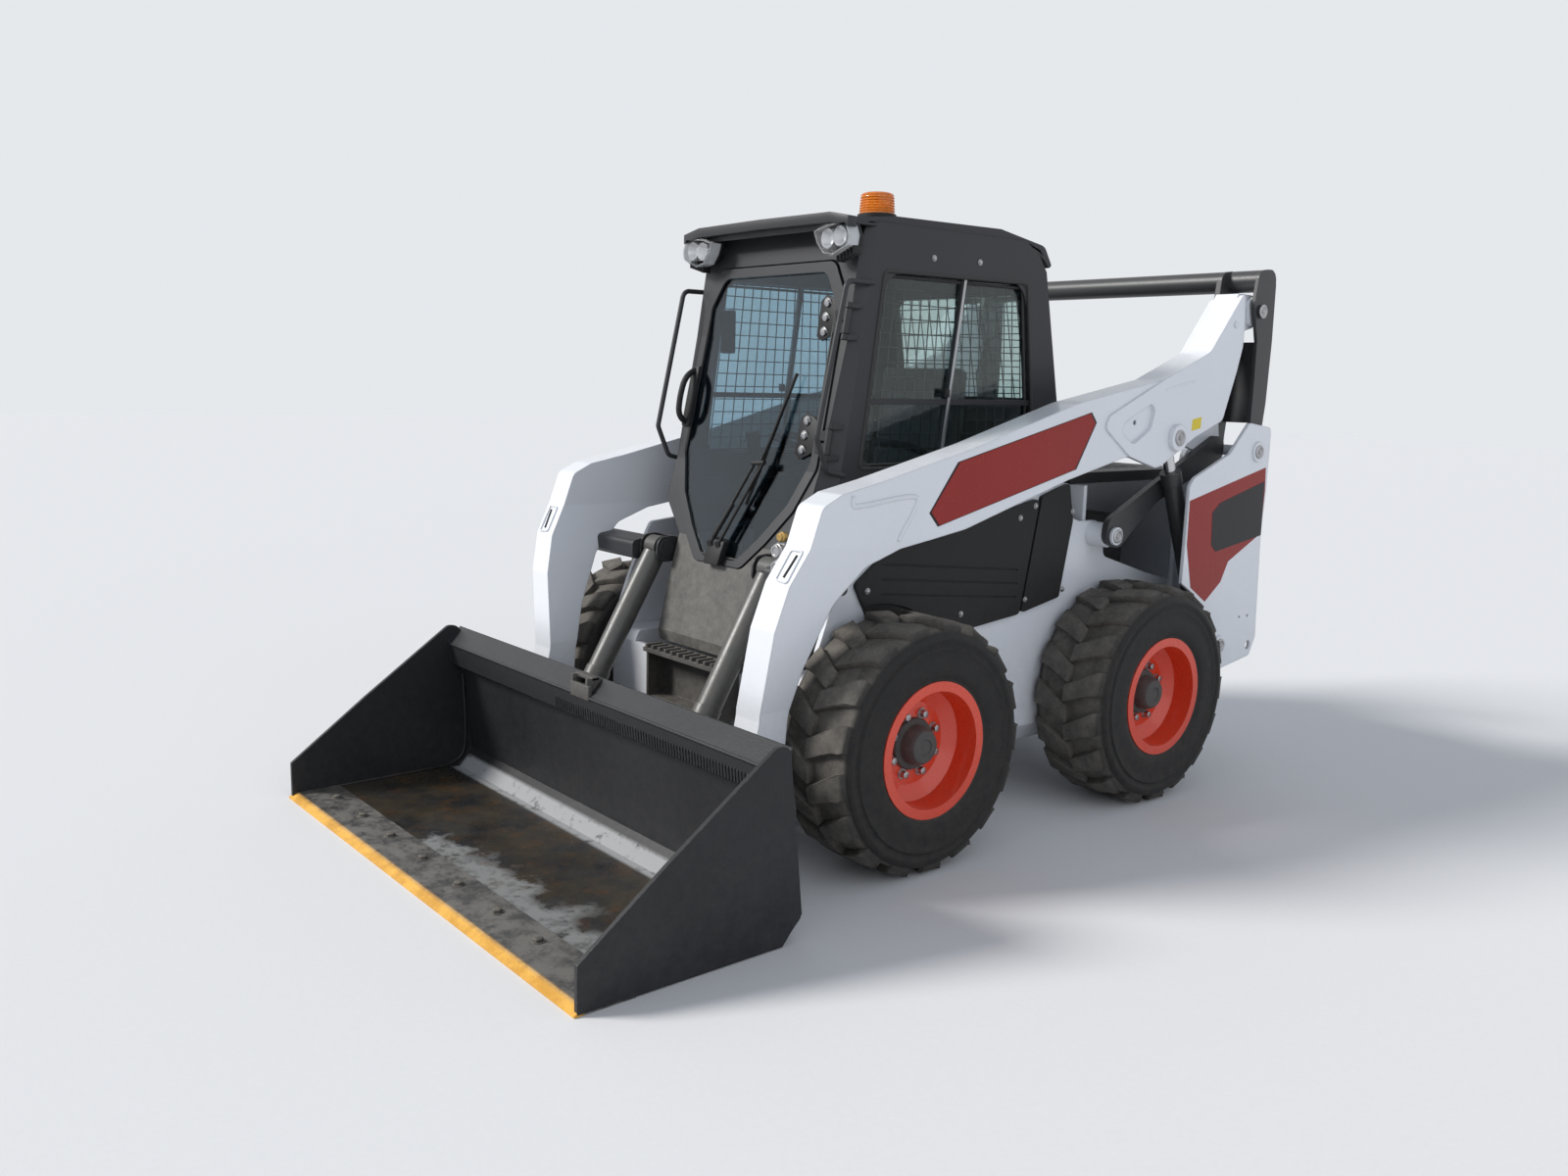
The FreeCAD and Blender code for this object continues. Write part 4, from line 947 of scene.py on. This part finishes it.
class LOADER_OT_door_fittings(bpy.types.Operator):
    """Add the door's seal, hinge straps and latch"""

    bl_idname = "loader.door_fittings"
    bl_label = "Door Fittings"

    def execute(self, context):
        bead = rim_tube("door_seal", [(x, door_face(z) + 1, z) for x, z in DOOR_GLASS], 5, 45)
        finish(bead, "door", "seal_rubber")
        for k, z in enumerate((1755, 1365)):
            strap = front_plate(
                "strap", [(268, z - 62), (300, z - 78), (344, z - 60), (372, z - 40), (372, z + 40), (330, z + 66),
                          (290, z + 74), (268, z + 56)], 0, 7, 2,
            )
            finish(lay_on_door(strap, 4), "door", "black_plastic", smooth=40)
            spots = [((305, door_face(z + d) - 4, z + d), (0, -1, -0.2)) for d in (-48, 0, 48)]
            bolts("door_strap_bolts_%d" % k, "door", spots, 13, 8)
        x = -374
        backing = front_plate("backing", [(x - 20, 1370), (x + 26, 1370), (x + 26, 1590), (x - 20, 1590)], 0, 14, 4)
        grip = [(x, door_face(z) - off, z) for z, off in ((1575, 14), (1560, 52), (1480, 62), (1400, 52), (1385, 14))]
        handle = tube("grip", grip, 11)
        finish(joined("door_latch", [lay_on_door(backing, 18), handle]), "door", "black_plastic")
        return {"FINISHED"}


class LOADER_OT_wiper_detail(bpy.types.Operator):
    """Replace the wiper by its motor cover, two parallel arms and a long blade"""

    bl_idname = "loader.wiper_detail"
    bl_label = "Wiper"

    def execute(self, context):
        def off(x, z, away):
            return (x, door_face(z) - away, z)

        pieces = []
        cover = front_plate("cover", [(-46, 905), (40, 905), (46, 990), (-40, 1000)], -30, 0, 6)
        pieces.append(lay_on_door(cover, 3))
        for x in (-26, 18):
            arm = [off(x, 975, 34), off(x + 60, 1110, 34), off(x + 128, 1262, 32)]
            pieces.append(tube("arm", arm, 6, bend=False, sides=2))
            pieces.append(lathe("pivot", [(0, 1), (0, 13), (26, 11), (26, 1)], off(x, 975, 38), (0, 1, 0.2), 20))
        spring = tube("spring", [off(-10, 1000, 40), off(50, 1120, 40)], 9, bend=False, sides=2)
        pieces.append(spring)
        pieces.append(tube("link", [off(96, 1262, 36), off(160, 1268, 36)], 8, bend=False, sides=2))
        blade = [off(92, 1120, 15), off(132, 1268, 20), off(170, 1400, 20), off(218, 1570, 15)]
        pieces.append(tube("blade", blade, 6, bend=False, sides=2))
        carrier = [off(106, 1170, 26), off(134, 1268, 34), off(160, 1350, 28), off(196, 1490, 20)]
        pieces.append(tube("carrier", carrier, 5, bend=False, sides=2))
        piece = finish(joined("wiper_detail", pieces), "door", "black_plastic")
        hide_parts("wiper")
        return {"FINISHED"}


class LOADER_OT_lamps(bpy.types.Operator):
    """Model the roof work lamps, the ribbed beacon and the tail lamps"""

    bl_idname = "loader.lamps"
    bl_label = "Lamps"

    def execute(self, context):
        outer = [
            (300, 1992), (284, 2030), (348, 2046), (438, 2050), (455, 2008), (448, 1978), (376, 1950), (330, 1958),
        ]
        shell = [front_plate("back", outer, -392, -372, 5)]
        shell.append(slab("stem", (352, -384, 1985), (398, -354, 2010), 3))
        shell += [slab("fin", (368 + 15 * i, -412, 1930 + 4 * i), (375 + 15 * i, -376, 1978), 1.5) for i in range(6)]
        paired(joined("lamp_shell", shell), "work_lamp_housing", "chassis", "black_plastic")
        bowls = [front_plate("mirror", inset_outline(outer, 6), -396, -391, 1)]
        for x, z in ((346, 2003), (404, 2008)):
            profile = [(0, 1), (0, 31), (34, 31), (30, 27), (12, 14), (8, 1)]
            bowls.append(lathe("bowl", profile, (x, -396, z), (0, -1, 0), 28))
        paired(joined("reflector", bowls), "work_lamp_reflector", "chassis", "reflector")
        clear = [
            front_plate("lens", outer, -440, -433, 2.5),
            rim_tube("lens_edge", [(x, -436, z) for x, z in outer], 4, 12),
        ]
        lens_left, _ = paired(joined("lens", clear), "work_lamp_glass", "chassis", "lamp_lens")
        wall = front_plate("wall", outer, -436, -390)
        wall = hollowed(wall, front_plate("core", inset_outline(outer, 4), -450, -380))
        paired(wall, "work_lamp_wall", "chassis", "lamp_wall")
        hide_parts("work_lamps")
        x, y = 330, -200
        foot = [(2088, 1), (2088, 66), (2100, 66), (2103, 60), (2103, 1)]
        base = lathe("beacon_base", foot, (x, y, 0), (0, 0, 1), 48)
        finish(base, "chassis", "black_plastic")
        profile = [(2102, 1), (2102, 62)]
        for i in range(7):
            z = 2104 + i * 8.4
            profile += [(z, 61 - i * 0.6), (z + 4.2, 58.5 - i * 0.6)]
        profile += [(2163, 56), (2168, 52), (2171, 44), (2171, 1)]
        lens = lathe("beacon_lens", profile, (x, y, 0), (0, 0, 1), 56)
        finish(lens, "chassis", "amber", smooth=50)
        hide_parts("beacon")
        tail = slab("tail", (652, 1572, 1056), (728, 1583, 1154), 4)
        ribs = [slab("rib", (656, 1582, 1064 + i * 17), (724, 1584.5, 1073 + i * 17), 1) for i in range(5)]
        paired(joined("tail_ribs", [tail] + ribs), "tail_lamp_lens", "chassis", "red_lens")
        return {"FINISHED"}


class LOADER_OT_seat(bpy.types.Operator):
    """Make the padded seat cushion and back with sewn channels"""

    bl_idname = "loader.seat"
    bl_label = "Seat"

    def execute(self, context):
        base = slab("base", (-200, -40, 640), (200, 380, 900), 12)
        finish(base, "chassis", "black_plastic")
        rail = slab("suspension", (-170, -20, 880), (170, 360, 966), 10)
        finish(rail, "chassis", "black_plastic")
        cushion = pad("seat_cushion", [(-118, 972), (-118, 1038), (350, 1020), (386, 972)], 225)
        back = pad("seat_back", [(302, 1045), (368, 1620), (420, 1605), (392, 1045)], 220)
        for piece in (cushion, back):
            finish(piece, "chassis", "seat_cloth", smooth=60)
        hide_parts("seat")
        seams = []
        for x in (-130, 130):
            line = [(x, -112, 1030), (x, 60, 1046), (x, 300, 1034)]
            seams.append(tube("seam", line, 3, sides=2))
        finish(joined("seat_piping", seams), "chassis", "seal_rubber")
        return {"FINISHED"}


def pad(name, outline, half):
    """Stuffed pad from a (y, z) outline, blown up by cloth simulation."""
    piece = side_plate(name, outline, -half, half, 16, 3)
    activate(piece)
    mesh = piece.modifiers.new("Voxels", "REMESH")
    mesh.mode = "VOXEL"
    mesh.voxel_size = 0.014
    bpy.ops.object.modifier_apply(modifier=mesh.name)
    start = [v.co.copy() for v in piece.data.vertices]
    cloth = piece.modifiers.new("Filling", "CLOTH")
    cloth.settings.use_pressure = True
    cloth.settings.uniform_pressure_force = 4
    cloth.settings.effector_weights.gravity = 0
    scene = bpy.context.scene
    for step in range(1, 13):
        scene.frame_set(step)
    activate(piece)
    bpy.ops.object.modifier_apply(modifier=cloth.name)
    scene.frame_set(1)
    for vertex, place in zip(piece.data.vertices, start):
        move = vertex.co - place
        if move.length > 0.009:
            vertex.co = place + move.normalized() * 0.009
    smooth = piece.modifiers.new("Rounding", "SUBSURF")
    smooth.levels = 1
    smooth.render_levels = 1
    activate(piece)
    bpy.ops.object.modifier_apply(modifier=smooth.name)
    return piece


class LOADER_OT_controls_detail(bpy.types.Operator):
    """Add bellows, arm rests and switches on the joystick pods, and a side display"""

    bl_idname = "loader.controls_detail"
    bl_label = "Controls"

    def execute(self, context):
        profile = [(0, 1), (0, 36)]
        for i in range(6):
            profile += [(4 + i * 8, 30 - i * 2.4), (8 + i * 8, 34 - i * 2.6)]
        profile += [(52, 16), (52, 1)]
        boot = lathe("boot", profile, (311, -174, 1176), (0, -0.18, 1), 28)
        knobs = []
        for i in range(3):
            x, z = 292 + 14 * i, 1322 - 8 * i
            knobs.append(slab("switch", (x, -236, z), (x + 10, -228, z + 12), 2))
        rest = side_plate("arm_rest", [(-60, 1186), (200, 1196), (200, 1222), (-60, 1212)], 274, 350, 9, 3)
        paired(joined("pod_detail", [boot, rest] + knobs), "pod_detail", "chassis", "black_plastic")
        housing = slab("display", (-400, -300, 1640), (-340, -270, 1800), 6)
        finish(housing, "chassis", "black_plastic")
        return {"FINISHED"}


# Arms and frame

ARM_PANEL = ((-344, 1144), (-222, 1302), (452, 1461), (483, 1425), (383, 1263), (-303, 1099))


class LOADER_OT_marking_panels(bpy.types.Operator):
    """Lay the blank red panels on the arms and uprights"""

    bl_idname = "loader.marking_panels"
    bl_label = "Marking Panels"

    def execute(self, context):
        border = side_plate("border", ARM_PANEL, ARM_FACE - 0.2, ARM_FACE + 0.7, 0.2, 1)
        paired(border, "arm_panel_border", "arms", "marking_dark")
        panel = side_plate("panel", inset_outline(ARM_PANEL, 9), ARM_FACE + 0.6, ARM_FACE + 1.4, 0.2, 1)
        paired(panel, "arm_panel", "arms", "marking")
        sweep = [
            (1024, 1130), (1548, 1244), (1556, 1150), (1548, 975), (1324, 876), (1279, 797), (1178, 727), (1072, 792),
            (1026, 960),
        ]
        red = side_plate("sweep", sweep, UPRIGHT_FACE, UPRIGHT_FACE + 0.7, 0.2, 1)
        paired(red, "upright_panel", "chassis", "marking")
        field = [(1184, 1078), (1234, 1114), (1546, 1188), (1552, 968), (1226, 922), (1192, 950)]
        dark = side_plate("dark", field, UPRIGHT_FACE + 0.6, UPRIGHT_FACE + 1.4, 0.2, 1)
        paired(dark, "upright_panel_dark", "chassis", "marking_dark")
        tag = side_plate("tag", [(1060, 1392), (1120, 1402), (1122, 1445), (1062, 1435)], 776, 776.6, 0.1, 1)
        paired(tag, "arm_tag", "arms", "sticker_yellow")
        return {"FINISHED"}


def leg_face(z):
    """Depth of the left leg's front face at a height, for its shoulder."""
    return -894 + (z - 955) * 62 / 109


class LOADER_OT_pins(bpy.types.Operator):
    """Add pin heads, retainers, grease fittings and weld beads"""

    bl_idname = "loader.pins"
    bl_label = "Pins"

    def execute(self, context):
        heads = (
            # name, body, centre of the outer face, outer radius
            ("lift_pin", "arms", (794, 961, 1367), 30), ("link_pin", "rear_link", (803, 1450, 1856), 27),
            ("link_foot_pin", "chassis", (823, 1475, 1308), 27), ("lift_foot_pin", "chassis", (823, 1301, 540), 27),
            ("control_pin", "chassis", (698, 746, 998), 26),
        )
        for name, body, centre, radius in heads:
            profile = [
                (0, 1), (0, radius), (4, radius), (6, radius - 3), (6, radius - 9), (3, radius - 11), (3, 9), (7, 8),
                (7, 1),
            ]
            paired(lathe(name, profile, centre, (1, 0, 0), 32), name, body, "steel")
        bead = tube("bead", [(771, 880, 1545), (773, 960, 1562), (771, 1068, 1582)], 7)
        paired(bead, "weld_bead", "arms", "white_paint")
        stud = lathe("stud", [(0, 1), (0, 14), (5, 12), (5, 1)], (776, 1309, 1800), (1, 0, 0), 24)
        paired(stud, "arm_stud", "arms", "white_paint")
        line = [(-672, 1209), (-675, 1183), (-660, 1176), (-413, 1207), (-391, 1182), (-473, 1074), (-475, 1064)]
        fold = tube("fold", [(ARM_FACE, y, z) for y, z in line], 8)
        paired(fold, "arm_fold_bead", "arms", "white_paint")
        opening = ((690, 1052), (742, 1054), (732, 962), (678, 966))
        rim = rim_tube("rim", [(x, leg_face(z) - 3, z) for x, z in opening], 4, 20)
        paired(rim, "leg_panel_rim", "arms", "white_paint")
        # A black bar lies where the slot opens: painted shade standing in for the dark inside of the slot.
        slot_shade = tube("slot_shade", [(724, leg_face(1040) - 1, 1040), (708, leg_face(975) - 1, 975)], 4, bend=False)
        paired(slot_shade, "leg_panel_painted_slot_shade", "arms", "black_plastic")
        spots = ((-440, 880), (10, 760), (300, 1080), (380, 1120), (560, 800), (596, 1090), (350, 780))
        left = spread(bolt_head(8, 5), [placed((600, y, z), (1, 0, 0)) for y, z in spots], "cover_bolts")
        paired(left, "cover_bolts", "chassis", "steel")
        return {"FINISHED"}


class LOADER_OT_couplers_detail(bpy.types.Operator):
    """Dress the couplers on the left leg with collars, a drain coupler and a guard"""

    bl_idname = "loader.couplers_detail"
    bl_label = "Couplers"

    def execute(self, context):
        for i, z in enumerate((985, 1035)):
            profile = [
                (0, 1), (0, 23), (5, 24), (8, 21), (12, 21), (14, 24), (20, 24), (23, 20), (30, 19), (30, 12), (26, 11),
                (26, 1),
            ]
            collar = lathe("coupler_collar_%d" % i, profile, (596, -798, z), (0, -1, 0), 32)
            finish(collar, "arms", "steel")
        small = [(0, 1), (0, 14), (10, 16), (16, 16), (20, 12), (26, 12), (26, 1)]
        drain = lathe("drain", small, (610, -798, 1080), (0, -1, 0), 28)
        finish(drain, "arms", "brass")
        guard = front_plate("guard", [(640, 960), (664, 1130), (672, 1130), (650, 955)], -806, -746, 2)
        finish(guard, "arms", "steel")
        return {"FINISHED"}


class LOADER_OT_bucket_detail(bpy.types.Operator):
    """Add edge bolts, weld beads, lip ribs and a small bracket to the bucket"""

    bl_idname = "loader.bucket_detail"
    bl_label = "Bucket"

    def execute(self, context):
        spots = [((x, -1650, 20), (0, 0, 1)) for x in (-860, -620, -380, -130, 130, 380, 620, 860)]
        bolts("edge_bolts", "attachment", spots, 15, 9, "worn_black")
        seam = [(1000, -1590, 16), (1000, -1300, 17), (1000, -1125, 20), (1000, -1070, 90), (1001, -1090, 380)]
        bead = tube("bead", seam, 5)
        paired(bead, "side_weld", "attachment", "bucket_steel")
        lip = tube("lip", [(-1000, -1146, 508), (1000, -1146, 508)], 6, bend=False)
        finish(lip, "attachment", "bucket_steel")
        rib = side_plate("rib", [(-1140.5, 430), (-1145, 470), (-1130, 470), (-1130, 430)], -3, 3, 0.6, 1)
        ribs = spread(rib, [Matrix.Translation(at(x, 0, 0)) for x in range(-180, 960, 15)], "lip_ribs")
        finish(ribs, "attachment", "bucket_steel")
        parts = [
            slab("base", (-62, -1152, 500), (52, -1138, 548), 2), slab("left", (-62, -1150, 520), (-50, -1098, 572), 2),
            slab("right", (30, -1150, 520), (42, -1098, 572), 2), slab("top", (-62, -1132, 562), (42, -1104, 574), 2),
        ]
        finish(joined("lip_bracket", parts), "attachment", "worn_black")
        button = [(0, 1), (0, 9), (3, 8), (3, 1)]
        plugs = [lathe("plug", button, (1012.5, y, z), (1, 0, 0), 20) for y, z in ((-1600, 96), (-1560, 130))]
        paired(joined("side_plugs", plugs), "side_plugs", "attachment", "steel")
        return {"FINISHED"}


class LOADER_OT_rear_detail(bpy.types.Operator):
    """Add the tailgate's latch"""

    bl_idname = "loader.rear_detail"
    bl_label = "Rear Details"

    def execute(self, context):
        latch = slab("latch", (380, 1656, 1090), (470, 1672, 1140), 5)
        finish(latch, "tailgate", "black_plastic")
        return {"FINISHED"}


# Stage

class LOADER_OT_stage(bpy.types.Operator):
    """Lay the floor, light the loader and place the camera"""

    bl_idname = "loader.stage"
    bl_label = "Stage"

    def execute(self, context):
        net, shader = start_material("floor", Specular_IOR_Level=0.2)
        place = net.add("ShaderNodeTexCoord").outputs["Object"]
        grain = net.noise(place, 60.0, 6.0)
        net.wire(net.mix((0.74, 0.74, 0.745, 1), (0.79, 0.79, 0.79, 1), grain), shader.inputs["Base Color"])
        net.wire(net.ramp(grain, 0.3, 0.7, 0.7, 0.85), shader.inputs["Roughness"])
        clear_selection()
        bpy.ops.mesh.primitive_plane_add(size=80, location=(0, 0, -0.001))
        bpy.ops.object.transform_apply(location=True, rotation=True, scale=True)
        floor = named("floor")
        floor.data.materials.append(materials["floor"])
        lamps = (
            # name, place that it shines from, angle in radians, strength, colour
            ("key", (-5.0, -7.0, 6.5), 0.3, 3.2, (1.0, 0.98, 0.95)),
            ("fill", (7.5, -1.5, 5.0), 1.2, 0.5, (0.9, 0.94, 1.0)),
        )
        for name, position, angle, power, colour in lamps:
            data = bpy.data.lights.new(name, "SUN")
            data.angle = angle
            data.energy = power
            data.color = colour
            lamp = bpy.data.objects.new(name, data)
            context.scene.collection.objects.link(lamp)
            aim = Vector((0, -0.2, 0.8)) - Vector(position)
            lamp.matrix_world = Matrix.Translation(position) @ aim.to_track_quat("-Z", "Y").to_matrix().to_4x4()
        world = bpy.data.worlds.new("studio")
        context.scene.world = world
        world.use_nodes = True
        tree = world.node_tree
        tree.nodes.clear()
        out = tree.nodes.new("ShaderNodeOutputWorld")
        seen = tree.nodes.new("ShaderNodeBackground")
        seen.inputs["Color"].default_value = (0.79, 0.812, 0.838, 1)
        seen.inputs["Strength"].default_value = 1.0
        light = tree.nodes.new("ShaderNodeBackground")
        light.inputs["Color"].default_value = (0.82, 0.89, 1.0, 1)
        light.inputs["Strength"].default_value = 0.46
        path = tree.nodes.new("ShaderNodeLightPath")
        either = path.outputs["Is Camera Ray"]
        for other in ("Is Glossy Ray", "Is Transmission Ray"):
            pick = tree.nodes.new("ShaderNodeMath")
            pick.operation = "MAXIMUM"
            tree.links.new(either, pick.inputs[0])
            tree.links.new(path.outputs[other], pick.inputs[1])
            either = pick.outputs[0]
        blend = tree.nodes.new("ShaderNodeMixShader")
        tree.links.new(either, blend.inputs[0])
        tree.links.new(light.outputs[0], blend.inputs[1])
        tree.links.new(seen.outputs[0], blend.inputs[2])
        tree.links.new(blend.outputs[0], out.inputs["Surface"])
        azimuth = 0.8768
        drop = 0.1624
        roll = 0.0241
        ahead = Vector((
            -math.sin(azimuth) * math.cos(drop), math.cos(azimuth) * math.cos(drop), -math.sin(drop),
        ))
        right = ahead.cross(Vector((0, 0, 1))).normalized()
        up = right.cross(ahead)
        tilted_right = right * math.cos(roll) + up * math.sin(roll)
        tilted_up = up * math.cos(roll) - right * math.sin(roll)
        data = bpy.data.cameras.new("camera")
        data.sensor_fit = "HORIZONTAL"
        data.sensor_width = 36
        data.lens = 29.23
        data.clip_end = 200
        camera = bpy.data.objects.new("camera", data)
        context.scene.collection.objects.link(camera)
        turn = Matrix((tilted_right, tilted_up, -ahead)).transposed().to_4x4()
        camera.matrix_world = Matrix.Translation((3.548, -3.244, 1.549)) @ turn
        context.scene.camera = camera
        context.scene.view_settings.view_transform = "Standard"
        return {"FINISHED"}


PIECES = (
    LOADER_OT_finishes, LOADER_OT_tyres, LOADER_OT_hubs, LOADER_OT_cab_screens, LOADER_OT_cab_trim,
    LOADER_OT_door_fittings, LOADER_OT_wiper_detail, LOADER_OT_lamps, LOADER_OT_seat, LOADER_OT_controls_detail,
    LOADER_OT_marking_panels, LOADER_OT_pins, LOADER_OT_couplers_detail, LOADER_OT_bucket_detail,
    LOADER_OT_rear_detail, LOADER_OT_stage,
)


class LOADER_PT_pieces(bpy.types.Panel):
    """Colours, sizes and pieces of the loader"""

    bl_idname = "LOADER_PT_pieces"
    bl_label = "Skid Steer Loader"
    bl_space_type = "VIEW_3D"
    bl_region_type = "UI"
    bl_category = "Loader"

    def draw(self, context):
        layout = self.layout
        for holder in (context.scene.loader_colours, context.scene.loader_sizes):
            column = layout.column()
            for label in holder.__annotations__:
                column.prop(holder, label)
        for piece in PIECES:
            layout.operator(piece.bl_idname)


CLASSES = (LoaderColours, LoaderSizes, *PIECES, LOADER_PT_pieces)


def register():
    for cls in CLASSES:
        bpy.utils.register_class(cls)
    bpy.types.Scene.loader_colours = bpy.props.PointerProperty(type=LoaderColours)
    bpy.types.Scene.loader_sizes = bpy.props.PointerProperty(type=LoaderSizes)


def unregister():
    del bpy.types.Scene.loader_colours
    del bpy.types.Scene.loader_sizes
    for cls in reversed(CLASSES):
        bpy.utils.unregister_class(cls)


def main():
    """Build the whole scene in order."""
    register()
    for piece in PIECES:
        group, operator = piece.bl_idname.split(".")
        getattr(getattr(bpy.ops, group), operator)()


if __name__ == "__main__":
    main()
